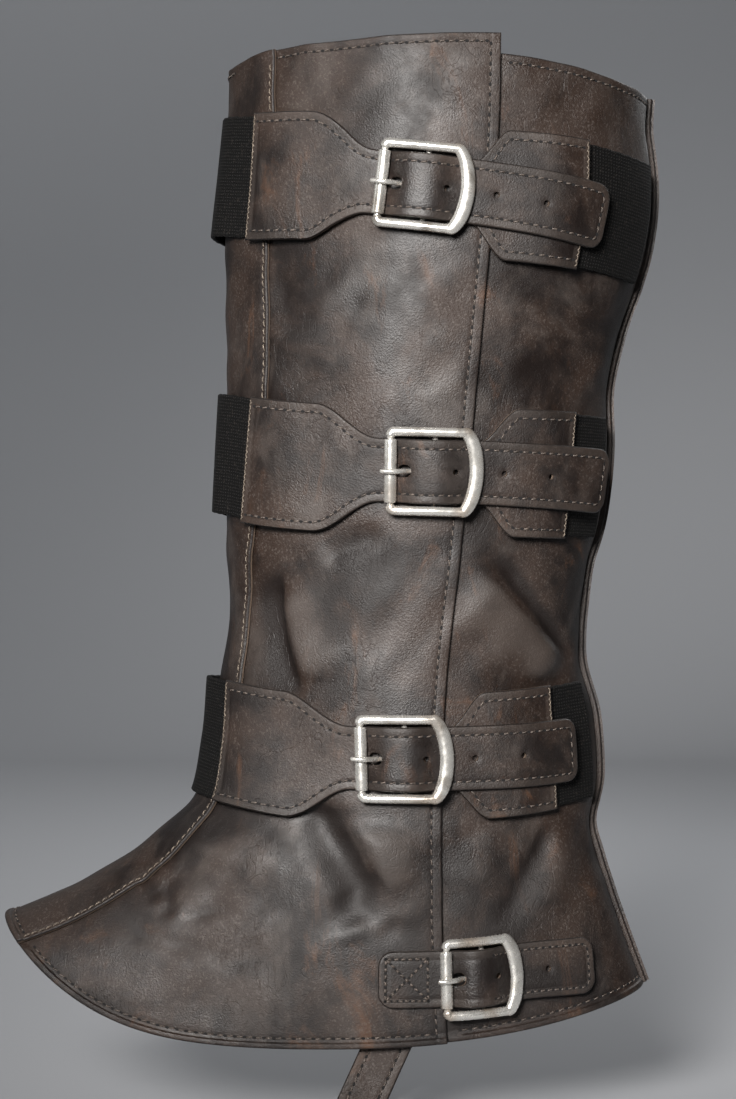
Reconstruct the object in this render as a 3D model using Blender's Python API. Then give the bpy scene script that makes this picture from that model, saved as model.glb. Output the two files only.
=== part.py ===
"""A leather boot cover for one leg and shoe, in the form it has when worn.

A shin strip runs from the rim down to the instep. A flap of the outer side panel closes over the back panel
with three buckled straps and a short heel strap, and a stirrup passes under the shoe.
The toe points to -X and the outer side of the leg faces -Y.
The origin is the middle of the leg at the top strap.
Sizes are millimetres here and become metres where a mesh is made.
"""

import math

import bmesh
import bpy
import numpy as np

MM = 0.001

# Leather, webbing and the space between pieces
LEATHER = 2.0
GAP = 0.5
BILLET_THICK = 2.2
CHAPE_THICK = 1.4
WEBBING_THICK = 1.6
STIRRUP_THICK = 2.6

# Form of the leg and shoe inside the leather, one row for each section from the hem up.
# Each section is a closed ring: level is its height at the side of the leg.
SECTION_COLUMNS = (
    "level", "front_x", "front_z", "back_x", "back_z", "half_width", "square", "seam", "flap",
)
SECTIONS = (
    (-346, -178.0, -302.0, 82.0, -327.5, 49.0, 0.74, 18.5, 112.5),
    (-325, -158.5, -294.0, 74.7, -308.0, 50.0, 0.76, 21.9, 111.5),
    (-300, -135.5, -282.7, 66.7, -285.0, 50.0, 0.80, 25.1, 109.7),
    (-275, -114.8, -267.6, 60.6, -264.0, 49.5, 0.86, 28.3, 107.6),
    (-252, -97.5, -251.0, 58.0, -247.0, 49.5, 0.92, 26.8, 104.3),
    (-230, -90.3, -226.0, 56.9, -228.0, 50.0, 0.97, 25.5, 103.0),
    (-205, -86.3, -200.0, 55.3, -205.0, 50.5, 1.00, 27.5, 103.4),
    (-180, -82.4, -174.0, 55.7, -181.0, 51.5, 0.96, 25.8, 103.7),
    (-155, -83.4, -148.0, 58.0, -157.0, 53.5, 0.92, 29.6, 105.3),
    (-116, -83.6, -109.0, 63.0, -118.0, 57.0, 0.90, 35.5, 105.9),
    (-85, -83.4, -77.0, 65.8, -88.0, 60.0, 0.92, 38.3, 106.6),
    (-55, -84.0, -46.0, 71.9, -59.0, 62.5, 0.96, 38.3, 105.9),
    (-30, -84.2, -20.5, 78.5, -34.5, 64.0, 1.00, 37.6, 104.6),
    (-4, -83.5, 5.5, 83.0, -8.5, 65.0, 1.00, 37.9, 104.2),
    (25, -83.0, 34.0, 83.2, 20.0, 66.0, 1.00, 39.2, 105.0),
    (65, -82.5, 73.0, 84.5, 59.0, 67.0, 1.00, 37.5, 104.8),
)
FRONT_POWER = 3.5
BACK_POWER = 2.45

HEM_LEVEL = -346.0
SECTION = np.array(SECTIONS)
LEVELS = SECTION[:, 0]


def section(name, level):
    """One column of the section table at any level, on a smooth curve through its rows."""
    values = SECTION[:, SECTION_COLUMNS.index(name)]
    slopes = np.gradient(values, LEVELS)
    level = np.clip(np.asarray(level, float), LEVELS[0], LEVELS[-1])
    i = np.clip(np.searchsorted(LEVELS, level, side="right") - 1, 0, len(LEVELS) - 2)
    step = LEVELS[i + 1] - LEVELS[i]
    t = (level - LEVELS[i]) / step
    return (
        values[i] * (1 + 2 * t) * (1 - t) ** 2
        + values[i + 1] * t * t * (3 - 2 * t)
        + slopes[i] * step * t * (1 - t) ** 2
        + slopes[i + 1] * step * t * t * (t - 1)
    )


def smooth(low, high, value):
    """0 below low, 1 above high, and an even S-curve between."""
    t = np.clip((np.asarray(value, float) - low) / (high - low), 0, 1)
    return t * t * (3 - 2 * t)


def leg(angle, level):
    """A point of the form: angle is 0 at the shin, 90 on the outer side and 180 at the back, in degrees."""
    angle, level = np.broadcast_arrays(np.asarray(angle, float), np.asarray(level, float))
    turn = np.radians(angle)
    front_x, back_x = section("front_x", level), section("back_x", level)
    toward_front = np.cos(turn)
    side = np.sin(turn)
    x = (front_x + back_x) / 2 - (back_x - front_x) / 2 * toward_front
    y = -section("half_width", level) * np.sign(side) * np.abs(side) ** section("square", level)
    z = (
        level
        + (section("front_z", level) - level) * np.clip(toward_front, 0, 1) ** FRONT_POWER
        + (section("back_z", level) - level) * np.clip(-toward_front, 0, 1) ** BACK_POWER
    )
    return np.stack([x, y, z], axis=-1)


ANGLE_STEP = 1.0
LEVEL_STEP = 1.0


def leg_slopes(angle, level):
    """How the form's point moves with one degree of angle and with one millimetre of level."""
    low = np.clip(np.asarray(level, float) - LEVEL_STEP, LEVELS[0], LEVELS[-1] - 2 * LEVEL_STEP)
    by_angle = (leg(angle + ANGLE_STEP, level) - leg(angle - ANGLE_STEP, level)) / (2 * ANGLE_STEP)
    by_level = (leg(angle, low + 2 * LEVEL_STEP) - leg(angle, low)) / (2 * LEVEL_STEP)
    return by_angle, by_level


def outward(angle, level):
    by_angle, by_level = leg_slopes(np.asarray(angle, float), level)
    normal = np.cross(by_angle, by_level)
    return normal / np.linalg.norm(normal, axis=-1, keepdims=True)


# The largest folds of the leather: a soft ridge (height above 0) or trough along a slanted line
FOLD_COLUMNS = ("angle", "level", "slant", "length", "width", "height")
FOLDS = (
    (43, -184, 9, 34, 7, -2.4),
    (58, -182, 12, 40, 13, 1.8),
    (65, -141, 50, 18, 6, 1.2),
    (78, -263, 31, 24, 6, -3.0),
    (90, -264, 36, 32, 7, 2.4),
    (86, -292, -6, 22, 7, -2.0),
    (130, -162, 43, 36, 7, -2.6),
    (113, -170, 43, 30, 10, 1.8),
    (131, -286, -23, 34, 9, -1.8),
    (120, -280, -20, 34, 9, 1.4),
    (-60, -176, -12, 36, 8, -2.0),
    (-84, -172, -20, 38, 12, 2.0),
    (-72, -272, -26, 34, 7, -2.6),
    (-88, -268, -26, 36, 9, 2.2),
    (-128, -174, -46, 38, 8, -2.0),
    (-140, -280, -14, 34, 9, 1.4),
)


def folds(angle, level):
    """How far the folds move the leather out, in millimetres."""
    angle, level = np.broadcast_arrays(np.asarray(angle, float), np.asarray(level, float))
    here = leg(angle, level)
    moved = np.zeros(angle.shape)
    for row in FOLDS:
        fold = dict(zip(FOLD_COLUMNS, row))
        middle = leg(fold["angle"], fold["level"])
        by_angle, _ = leg_slopes(float(fold["angle"]), float(fold["level"]))
        across = (here - middle) @ (by_angle / np.linalg.norm(by_angle))
        up = here[..., 2] - middle[2]
        slant = math.radians(fold["slant"])
        beside = (across * math.cos(slant) + up * math.sin(slant)) / fold["width"]
        beyond = (up * math.cos(slant) - across * math.sin(slant)) / fold["length"]
        same_side = np.cos(np.radians(angle - fold["angle"])) > 0
        moved += fold["height"] * np.exp(-(beside**2) - beyond**4) * same_side
    return moved


# Straps: the level of the middle line, its tilts in degrees in front, at the buckle and behind it,
# the angle of the buckle's centre bar, where the front piece starts and how far its tip stands up,
# where the back piece ends, and how far the back seam and the webbing's two edges stand away
STRAP_COLUMNS = (
    "name", "level", "front_tilt", "tilt", "back_tilt", "bar_angle", "billet_start", "shear", "tip_lift",
    "chape_end", "bulge", "flare_top", "flare_bottom",
)
STRAPS = (
    ("top", -4.6, 6.0, -6.0, -1.5, 86.0, -76.0, 0.0, 0.0, 66.0, 2.4, 0.0, 4.0),
    ("middle", -115.5, 0.0, -1.0, 1.0, 95.2, -79.5, 0.0, 4.0, 60.0, 3.4, 1.7, 4.0),
    ("ankle", -230.0, -3.6, 0.0, 2.0, 91.6, -79.0, -0.13, 0.0, 64.0, 6.0, 3.5, 0.4),
)
WEBBING_WIDTH = 50.0
STRAP_BASE = 2 * (LEATHER + GAP)

# The fin of the closed back seam
FIN_HEIGHT = 3.6
FIN_TURN = 176.0
BULGE_LENGTH = 30.0
BULGE_ANGLE = 152.0


def back_bulge(angle, level):
    """The back seam stands away from the leg beside each strap."""
    out = np.zeros(np.broadcast(angle, level).shape)
    for row in STRAPS:
        strap = dict(zip(STRAP_COLUMNS, row))
        out = out + strap["bulge"] * np.exp(-(((level - strap["level"]) / BULGE_LENGTH) ** 4))
    return out * smooth(BULGE_ANGLE, 178, np.abs(angle))


def strap_window(level):
    """1 away from the straps and 0 beneath them, where the leather is pressed flat."""
    window = np.ones(np.shape(level))
    for row in STRAPS:
        strap = dict(zip(STRAP_COLUMNS, row))
        away = np.abs(level - strap["level"])
        window = window * smooth(WEBBING_WIDTH / 2 - 2, WEBBING_WIDTH / 2 + 12, away)
    return window * smooth(HEM_LEVEL + 38, HEM_LEVEL + 56, level)


def leather_point(angle, level, offset):
    """A point offset millimetres out from the form, with the folds and the bulges at the back."""
    moved = offset + folds(angle, level) * strap_window(level) + back_bulge(angle, level)
    return leg(angle, level) + outward(angle, level) * np.asarray(moved)[..., None]


# Meshes
COLOURS = {
    "leather": ((0.085, 0.058, 0.046, 1), 0.48, 0.0),
    "webbing": ((0.012, 0.012, 0.014, 1), 0.85, 0.0),
    "metal": ((0.72, 0.69, 0.64, 1), 0.3, 1.0),
}


def material(name):
    made = bpy.data.materials.get(name)
    if made is None:
        made = bpy.data.materials.new(name)
        made.use_nodes = True
        colour, roughness, metallic = COLOURS[name]
        shader = made.node_tree.nodes["Principled BSDF"]
        shader.inputs["Base Color"].default_value = colour
        shader.inputs["Roughness"].default_value = roughness
        shader.inputs["Metallic"].default_value = metallic
    return made


SMOOTH_EDGE = math.radians(40)


def add_object(name, points, faces, look):
    """One closed solid. Points are millimetres."""
    mesh = bpy.data.meshes.new(name)
    mesh.from_pydata([tuple(float(v) * MM for v in p) for p in points], [], faces)
    built = bmesh.new()
    built.from_mesh(mesh)
    loose = [v for v in built.verts if not v.link_faces]
    bmesh.ops.delete(built, geom=loose, context="VERTS")
    bmesh.ops.recalc_face_normals(built, faces=built.faces)
    built.to_mesh(mesh)
    built.free()
    mesh.shade_smooth()
    mesh.set_sharp_from_angle(angle=SMOOTH_EDGE)
    mesh.materials.append(material(look))
    made = bpy.data.objects.new(name, mesh)
    bpy.context.scene.collection.objects.link(made)
    return made


def wall(name, inner, outer, look, slots=(), rounds=None):
    """A closed wall between two grids of points.

    slots are the cells left out, and rounds gives the points of a cell's eight-sided hole on both sides.
    """
    rounds = rounds or {}
    rows, columns = inner.shape[:2]
    points = [*inner.reshape(-1, 3), *outer.reshape(-1, 3)]
    layer = rows * columns
    faces = []

    def corner(r, c):
        return r * columns + c

    for r in range(rows - 1):
        for c in range(columns - 1):
            if (r, c) in slots:
                continue
            quad = (corner(r, c), corner(r, c + 1), corner(r + 1, c + 1), corner(r + 1, c))
            if (r, c) in rounds:
                inside, outside = rounds[(r, c)]
                first = len(points)
                points += [*inside, *outside]
                sides = len(inside)
                for side in range(2):
                    ring = [first + side * sides + k for k in range(sides)]
                    frame = [q + side * layer for q in quad]
                    for k, q in enumerate(frame):
                        following = frame[(k + 1) % 4]
                        a, b = ring[2 * k], ring[2 * k + 1]
                        faces.append((q, a, b))
                        faces.append((q, b, ring[(2 * k + 2) % sides], following))
                for k in range(sides):
                    after = (k + 1) % sides
                    faces.append((first + k, first + after, first + sides + after, first + sides + k))
            else:
                faces.append(quad)
                faces.append(tuple(q + layer for q in quad))
            neighbours = ((r - 1, c), (r, c + 1), (r + 1, c), (r, c - 1))
            for k, (nr, nc) in enumerate(neighbours):
                outside_grid = not (0 <= nr < rows - 1 and 0 <= nc < columns - 1)
                if outside_grid or (nr, nc) in slots:
                    a, b = quad[k], quad[(k + 1) % 4]
                    faces.append((a, b, b + layer, a + layer))
    return add_object(name, points, faces, look)


# Panels: rows run up from the hem, columns run round the leg
HEM_HEIGHTS = (0.0, 3.5, 6.0)
HEM_BEAD = 0.9
TOP_EDGE = 4.0
ROW_PITCH = 15.0
MAIN_TOP = 36.0
LAP_DEGREES = 5.0
UNDERLAP_DEGREES = 20.0

# Where each panel's top edge is cut: angle round the leg and level
RIMS = {
    "shin_strip": ((0, 42.0), (12, 42.3), (24, 45.2), (37, 49.7), (60, 53.8)),
    "side_panel": ((24, 45.2), (37, 49.7), (50, 52.5), (75, 55.3), (106, 56.6)),
    "back_panel": ((84, 49.5), (106, 48.8), (120, 47.7), (150, 45.0), (180, 45.2)),
    "inner_panel": ((24, 45.2), (37, 49.7), (60, 51.5), (106, 49.0), (150, 45.5), (180, 45.2)),
}


def top_level(name, angle):
    rim = np.array(RIMS[name], float)
    return np.interp(np.abs(angle), rim[:, 0], rim[:, 1])


def panel_levels(name, angle_at):
    """The level of each row and column. Rows lie at the same levels on all panels, up to the last two."""
    low = [HEM_LEVEL + h for h in HEM_HEIGHTS]
    count = round((MAIN_TOP - low[-1]) / ROW_PITCH)
    main = list(np.linspace(low[-1], MAIN_TOP, count + 1))[1:]
    angle = angle_at(MAIN_TOP)
    top = top_level(name, angle)
    rows = [np.full(angle.shape, level) for level in low + main]
    return np.array(rows + [top - TOP_EDGE, top])


def panel(name, columns, lift, covered=None, fin=0):
    """One leather panel.

    columns gives its angles at a level, and lift its inner face's distance from the form.
    covered are the columns that lie under another panel and have no rolled hem.
    fin is -1 or 1 where the last column turns out along the back seam.
    """
    level = panel_levels(name, columns)
    angle = np.array([columns(float(row[0])) for row in level])
    offset = lift(angle, level)
    bead = np.zeros(level.shape)
    bead[:2] = HEM_BEAD
    if covered is not None:
        bead[:, covered] = 0
    inside = leather_point(angle, level, offset)
    outside = leather_point(angle, level, offset + LEATHER + bead)
    if fin:
        inside, outside = add_fin(inside, outside, level[:, -1], fin)
    wall(name, inside, outside, "leather")


def add_fin(inside, outside, level, side):
    """Two more columns, turned out along the back seam. side is -1 on the outer half, 1 on the inner."""
    seam = leather_point(180.0, level, 0.0)
    away = outward(180.0, level)
    half_gap = np.array([0.0, side * GAP / 2, 0.0])
    thick = np.array([0.0, side * LEATHER, 0.0])
    reach = LEATHER + FIN_HEIGHT
    for d_in, d_out in ((0.3, LEATHER), (reach, reach)):
        inside = np.concatenate([inside, (seam + away * d_in + half_gap)[:, None]], axis=1)
        outside = np.concatenate([outside, (seam + away * d_out + half_gap + thick)[:, None]], axis=1)
    return inside, outside


def spans(*parts):
    """Column angles: the first angle, then parts that each give an end angle and a count of columns."""
    angles = [parts[0]]
    for end, count in parts[1:]:
        angles += list(np.linspace(angles[-1], end, count + 1))[1:]
    return np.array(angles)


def make_panels():
    def seam(level):
        return float(section("seam", level))

    def flap(level):
        return float(section("flap", level))

    def strip_columns(level):
        edge = seam(level)
        lap = edge - LAP_DEGREES
        return spans(-edge, (-lap, 1), (lap, 6), (edge, 1))

    def side_columns(level):
        first, under = seam(level) - LAP_DEGREES, flap(level) - UNDERLAP_DEGREES
        return spans(first, (seam(level), 1), (under - 4, 8), (under, 1), (flap(level), 3))

    def back_columns(level):
        return spans(flap(level) - UNDERLAP_DEGREES, (flap(level), 3), (FIN_TURN, 7))

    def inner_columns(level):
        return spans(LAP_DEGREES - seam(level), (-seam(level), 1), (-FIN_TURN, 15))

    def flat(angle, level):
        return np.zeros(angle.shape)

    def on_side_panels(angle, level):
        return np.full(angle.shape, LEATHER + GAP)

    def over_back_panel(angle, level):
        under = section("flap", level) - UNDERLAP_DEGREES
        return (LEATHER + GAP) * smooth(under - 26, under - 4.5, angle)

    panel("shin_strip", strip_columns, on_side_panels)
    panel("side_panel", side_columns, over_back_panel, covered=slice(0, 2))
    panel("back_panel", back_columns, flat, covered=slice(0, 4), fin=-1)
    panel("inner_panel", inner_columns, flat, covered=slice(0, 2), fin=1)


# Strap space: s runs back along the strap from the buckle's centre bar, t up across it,
# and h out from its underside
class StrapPath:
    """The line of one strap round the leg, and the points of the pieces that lie along it."""

    def __init__(self, level, tilts, bar_angle, settle=(118.0, 150.0)):
        self.level, self.bar_angle, self.settle = level, bar_angle, settle
        self.angles = np.linspace(-120, 178, 1200)
        line = leg(self.angles, level) + outward(self.angles, level) * STRAP_BASE
        steps = np.linalg.norm(np.diff(line, axis=0), axis=1)
        along = np.concatenate([[0], np.cumsum(steps)])
        self.along = along - np.interp(bar_angle, self.angles, along)
        self.slopes = np.interp(self.along, (-100, -60, -35, 12, 32), np.tan(np.radians(tilts)))
        rises = (self.slopes[1:] + self.slopes[:-1]) / 2 * np.diff(self.along)
        climbed = np.concatenate([[0], np.cumsum(rises)])
        self.climbed = climbed - np.interp(0, self.along, climbed)

    def angle_at(self, s):
        return np.interp(s, self.along, self.angles)

    def s_at(self, angle):
        return float(np.interp(angle, self.angles, self.along))

    def base(self, angle):
        """A strap bridges from the flap down to the back panel, where its end is sewn."""
        return STRAP_BASE + (LEATHER + GAP - STRAP_BASE) * smooth(*self.settle, angle)

    def point(self, s, t, h):
        """World point of strap coordinates."""
        s, t, h = (np.asarray(v, float) for v in np.broadcast_arrays(s, t, h))
        angle = self.angle_at(s)
        slope = np.interp(s, self.along, self.slopes)
        level = self.level + np.interp(s, self.along, self.climbed)
        by_angle, by_level = leg_slopes(angle, level)
        along = by_angle / np.linalg.norm(by_angle, axis=-1, keepdims=True) + by_level * slope[..., None]
        up = np.cross(outward(angle, level), along)
        up /= np.linalg.norm(up, axis=-1, keepdims=True)
        up *= np.sign(up[..., 2:])
        angle_square, level_square = (by_angle**2).sum(-1), (by_level**2).sum(-1)
        shared = (by_angle * by_level).sum(-1)
        up_angle, up_level = (up * by_angle).sum(-1), (up * by_level).sum(-1)
        area = angle_square * level_square - shared**2
        angle = angle + t * (up_angle * level_square - up_level * shared) / area
        level = level + t * (up_level * angle_square - up_angle * shared) / area
        out = self.base(angle) + h + back_bulge(angle, level)
        return leg(angle, level) + out[..., None] * outward(angle, level)


# Strap pieces, in strap space
BILLET_WIDTH = 25.4
FLARE_WIDTH = 51.0
FLARE_END, NECK_START = -48.0, -22.0
TIP_ROUND = 6.0
HOLE_PITCH, FIRST_HOLE, HOLE_RADIUS, HOLE_CELL = 19.4, -11.7, 1.1, 3.2
BILLET_TIP = FIRST_HOLE + 3 * HOLE_PITCH + 28.0
PRONG_HOLE_RADIUS = 2.7
CHAPE_NARROWER = 2.4
CHAPE_FLARE, CHAPE_NECK = 34.0, 17.0
WEBBING_LAP = 8.0
BAR_RADIUS = 1.1
LOOP_INNER = BAR_RADIUS + 0.6
BAR_HEIGHT = CHAPE_THICK + LOOP_INNER
CREST = BAR_HEIGHT + LOOP_INNER + CHAPE_THICK + GAP
ON_FOLD = 2 * (CHAPE_THICK + GAP)
ON_CHAPE = CHAPE_THICK + GAP
ON_WEBBING = WEBBING_THICK + GAP + 0.7


def flare(s, narrow, wide, start, end):
    """Strap width between a narrow neck at start and a wide end at end."""
    share = smooth(0, 1, (s - start) / (end - start))
    return narrow + (wide - narrow) * share


# Underside of a billet: up from the roller, over the centre bar, then down on the chape's fold
# and on the chape. The first rows count from the roller, the others from the bar.
ROLLER_CLIMB = ((0.0, 0.0), (3.1, 1.2), (6.9, 4.6))
BAR_CLIMB = (
    (-6.0, CREST - 0.2), (-3.5, CREST), (3.2, CREST), (7.0, ON_FOLD), (8.0, ON_FOLD), (11.3, ON_CHAPE),
)
FAR = 200.0


def billet_line(size):
    from_roller = [(size.left + s, h) for s, h in ROLLER_CLIMB]
    return np.array(from_roller + list(BAR_CLIMB))


def billet_height(s, line, front_webbing=-FAR, back_webbing=FAR, tip_lift=0.0):
    """Height of the billet's underside, raised where it or the chape beneath it laps over webbing."""
    in_front = ON_WEBBING * (1 - smooth(front_webbing, front_webbing + 9, s))
    behind = ON_WEBBING * smooth(back_webbing - 14, back_webbing - 3, s)
    at_tip = tip_lift * smooth(BILLET_TIP - 30, BILLET_TIP, s)
    return np.interp(s, line[:, 0], line[:, 1]) + in_front + behind + at_tip


def octagon(radius):
    """The corners of a hole, two for each corner of its cell."""
    turns = np.radians([202.5, 247.5, 292.5, 337.5, 22.5, 67.5, 112.5, 157.5])
    return radius * np.cos(turns), radius * np.sin(turns)


def billet_wall(name, path, stations, half_width, bottom, holes, shear):
    """A billet with its outline and underside at each station. shear slants its sewn end."""
    inner, outer = [], []
    for s in stations:
        half = half_width(s)
        t = np.array([-half, -half / 2, -HOLE_CELL, HOLE_CELL, half / 2, half])
        slanted = s + shear * t * (1 - smooth(FLARE_END - 12, NECK_START, s))
        inner.append(path.point(slanted, t, bottom(s)))
        outer.append(path.point(slanted, t, bottom(s) + BILLET_THICK))
    rounds = {}
    for centre, radius in holes:
        row = int(np.argmin(np.abs(np.asarray(stations) - (centre - HOLE_CELL))))
        hole_t, hole_s = octagon(radius)
        hole_s = hole_s + centre
        rounds[(row, 2)] = (
            path.point(hole_s, hole_t, bottom(hole_s)),
            path.point(hole_s, hole_t, bottom(hole_s) + BILLET_THICK),
        )
    wall(name, np.array(inner), np.array(outer), "leather", rounds=rounds)


def with_cells(stations, centres):
    """Stations with a cell's two edges at each hole and none inside it."""
    kept = [s for s in stations if all(abs(s - c) > HOLE_CELL + 1.2 for c in centres)]
    return sorted(kept + [c + side * HOLE_CELL for c in centres for side in (-1, 1)])


def round_tip(s, tip, half, radius):
    """Half width near a strap's rounded end."""
    inside = np.clip((s - (tip - radius)) / radius, 0, 1)
    return half - radius * (1 - math.sqrt(max(0.0, 1 - inside * inside)))


def make_billet(name, path, start, tip, width, holes, line, bottom, flared, shear=0.0):
    """The strap with the holes: sewn down in front, through the buckle, and free behind it."""

    def half_width(s):
        if flared and s < NECK_START:
            return flare(s, width, FLARE_WIDTH, NECK_START, FLARE_END) / 2
        half = round_tip(s, tip, width / 2, TIP_ROUND)
        if not flared:
            half = min(half, round_tip(-s, -start, width / 2, TIP_ROUND))
        return half

    rounding = [TIP_ROUND * k for k in (0.0, 0.08, 0.3, 0.6, 1.0)]
    first, last = line[0, 0], line[-1, 0]
    ends = [tip - k for k in rounding]
    front_end = start
    if not flared:
        ends += [start + k for k in rounding]
        front_end = start + TIP_ROUND
    front = np.linspace(front_end, first, 1 + round((first - front_end) / 6.5))
    behind = np.linspace(last, tip - TIP_ROUND, 1 + round((tip - last) / 7.0))
    stations = sorted({*front, *behind, *ends, *line[:, 0], 0.0})
    stations = with_cells(stations, [centre for centre, _ in holes])
    billet_wall(name, path, stations, half_width, bottom, holes, shear)


FOLD_END, SLOT_REACH, SLOT_HALF = 7.5, 3.8, 2.0


def make_chape(name, path, end, width, flared):
    """The piece that holds the buckle: folded round the centre bar, with a slot for the prong."""
    radius_in, radius_out = LOOP_INNER, LOOP_INNER + CHAPE_THICK

    def half_width(s):
        return (flare(s, width, FLARE_WIDTH, CHAPE_NECK, CHAPE_FLARE) if flared else width) / 2

    lower = [*np.linspace(end, SLOT_REACH, 2 + round((end - SLOT_REACH) / 7.0)), 2.0, 0.0]
    rows = []
    for s in lower:
        lift = ON_WEBBING * smooth(end - WEBBING_LAP - 10, end - WEBBING_LAP - 2, s) if flared else 0.0
        rows.append((s, lift + CHAPE_THICK, s, lift))
    for turn in np.radians([60, 120, 180]):
        s, h = -math.sin(turn), -math.cos(turn)
        inside = (radius_in * s, BAR_HEIGHT + radius_in * h)
        outside = (radius_out * s, BAR_HEIGHT + radius_out * h)
        rows.append((*inside, *outside))
    for s in (1.4, SLOT_REACH, 6.0, FOLD_END):
        top = BAR_HEIGHT + radius_in - smooth(1.5, 6.0, s) * (2 * LOOP_INNER - GAP)
        rows.append((s, top, s, top + CHAPE_THICK))
    inner, outer = [], []
    for s_in, h_in, s_out, h_out in rows:
        t = np.array([-1.0, 0.0, 0.0, 1.0]) * half_width(s_in)
        t[1], t[2] = -SLOT_HALF, SLOT_HALF
        inner.append(path.point(s_in, t, h_in))
        outer.append(path.point(s_out, t, h_out))
    slots = {(r, 1) for r in range(len(lower) - 3, len(rows) - 3)}
    wall(name, np.array(inner), np.array(outer), "leather", slots=slots)


# Buckles, in strap space
BUCKLE_EASE = 1.8
ROLLER_HEIGHT = BILLET_THICK + GAP + 2.6
KEEPER_HEIGHT = CHAPE_THICK + GAP + BILLET_THICK + GAP + 1.9
PIN_RADIUS = 1.3


class Buckle:
    """Sizes of one buckle: the clear width for the strap sets the rest."""

    def __init__(self, clear):
        self.half_t = clear / 2 + 2.05
        self.left = -0.62 * clear
        self.right = 0.57 * clear
        self.bow = 3.6
        self.rod = 1.9
        self.roller = 2.4


def tube_points(path, centres, radii_a, radii_b, sides, twist):
    """Rings of points round a closed line of centres in strap space.

    radii_a lies in the strap's plane and radii_b across it. twist turns each ring, in degrees.
    """
    centres = np.asarray(centres, float)
    ahead = np.roll(centres, -1, axis=0) - np.roll(centres, 1, axis=0)
    flat = ahead.copy()
    flat[:, 2] = 0
    flat /= np.linalg.norm(flat, axis=1, keepdims=True)
    beside = np.stack([flat[:, 1], -flat[:, 0], np.zeros(len(flat))], axis=1)
    turns = np.radians(np.arange(sides) * 360 / sides + twist)
    rings = []
    for centre, side, ra, rb in zip(centres, beside, radii_a, radii_b):
        ring = centre + np.outer(np.cos(turns) * ra, side) + np.outer(np.sin(turns) * rb, [0, 0, 1])
        rings.append(path.point(ring[:, 0], ring[:, 1], ring[:, 2]))
    return np.array(rings)


def ring_faces(count, sides, closed):
    faces = []
    for r in range(count if closed else count - 1):
        for k in range(sides):
            a, b = r * sides, ((r + 1) % count) * sides
            faces.append((a + k, a + (k + 1) % sides, b + (k + 1) % sides, b + k))
    if not closed:
        faces.append(tuple(range(sides)))
        faces.append(tuple((count - 1) * sides + k for k in range(sides)))
    return faces


def frame_line(size):
    """The frame's centre line and the bar's half sizes, from the roller pin round by the keeper side."""
    corner = 3.0
    half, left, right = size.half_t, size.left, size.right

    def height(s):
        share = (s - left) / (right - left)
        return ROLLER_HEIGHT + (KEEPER_HEIGHT - ROLLER_HEIGHT) * share

    rows = []
    for t in (-half + 2.4, half - 2.4):
        rows.append((left, t, height(left), PIN_RADIUS, PIN_RADIUS))
    rows.append((left, half - 1.4, height(left), size.rod, 1.9))
    rows.append((left + 0.9, half - 0.2, height(left), size.rod, 1.9))
    for s in (left + corner, 0.0, right - 6.0):
        rows.append((s, half, height(s), size.rod, 1.8))
    for turn in (65, 35, 0, -35, -65):
        angle = math.radians(turn)
        t = (half - 0.6) * math.sin(angle) / math.sin(math.radians(65))
        s = right - size.bow + size.bow * (math.cos(angle) - math.cos(math.radians(65))) / 0.577
        wide = 2.7 if abs(turn) < 60 else 2.4
        rows.append((s, t, height(s), wide, 1.7))
    for s in (right - 6.0, 0.0, left + corner):
        rows.append((s, -half, height(s), size.rod, 1.8))
    rows.append((left + 0.9, -half + 0.2, height(left), size.rod, 1.9))
    rows.append((left, -half + 1.4, height(left), size.rod, 1.9))
    return np.array(rows)


def make_buckle(name, path, size):
    """Frame with its sunk centre bar, the roller on its front side, and the prong."""
    sides = 8
    line = frame_line(size)
    rings = tube_points(path, line[:, :3], line[:, 3], line[:, 4], sides, 22.5)
    faces = ring_faces(len(rings), sides, True)
    frame = add_object(f"buckle_{name}", rings.reshape(-1, 3), faces, "metal")
    half = size.half_t
    frame_height = (ROLLER_HEIGHT + KEEPER_HEIGHT) / 2
    bar_line = [
        (0, -half, frame_height - 0.2), (0, -half + 1.1, frame_height - 0.9), (0, -half + 2.2, BAR_HEIGHT),
        (0, 0, BAR_HEIGHT),
        (0, half - 2.2, BAR_HEIGHT), (0, half - 1.1, frame_height - 0.9), (0, half, frame_height - 0.2),
    ]
    bar_sides = 6
    rings = rod_rings(path, bar_line, BAR_RADIUS, bar_sides)
    faces = ring_faces(len(rings), bar_sides, False)
    bar = add_object(f"bar_{name}", rings.reshape(-1, 3), faces, "metal")
    join(frame, bar)
    make_roller(name, path, size)
    make_prong(name, path, size)


def rod_rings(path, line, radius, sides):
    """Rings square to a line in strap space."""
    line = np.asarray(line, float)
    ahead = np.gradient(line, axis=0)
    ahead /= np.linalg.norm(ahead, axis=1, keepdims=True)
    radii = np.broadcast_to(radius, (len(line),))
    turns = np.radians(np.arange(sides) * 360 / sides)
    rings = []
    for centre, direction, r in zip(line, ahead, radii):
        first = np.cross(direction, [0, 0, 1.0]) if abs(direction[2]) < 0.9 else np.array([0, 1.0, 0])
        first = first / np.linalg.norm(first)
        second = np.cross(direction, first)
        ring = centre + r * (np.outer(np.cos(turns), first) + np.outer(np.sin(turns), second))
        rings.append(path.point(ring[:, 0], ring[:, 1], ring[:, 2]))
    return np.array(rings)


def join(kept, added):
    """Boolean union of two overlapping solids into the first."""
    union = kept.modifiers.new("join", "BOOLEAN")
    union.operation = "UNION"
    union.object = added
    graph = bpy.context.evaluated_depsgraph_get()
    joined = bpy.data.meshes.new_from_object(kept.evaluated_get(graph))
    kept.modifiers.clear()
    kept.data = joined
    bpy.data.objects.remove(added)
    joined.set_sharp_from_angle(angle=SMOOTH_EDGE)


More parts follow.
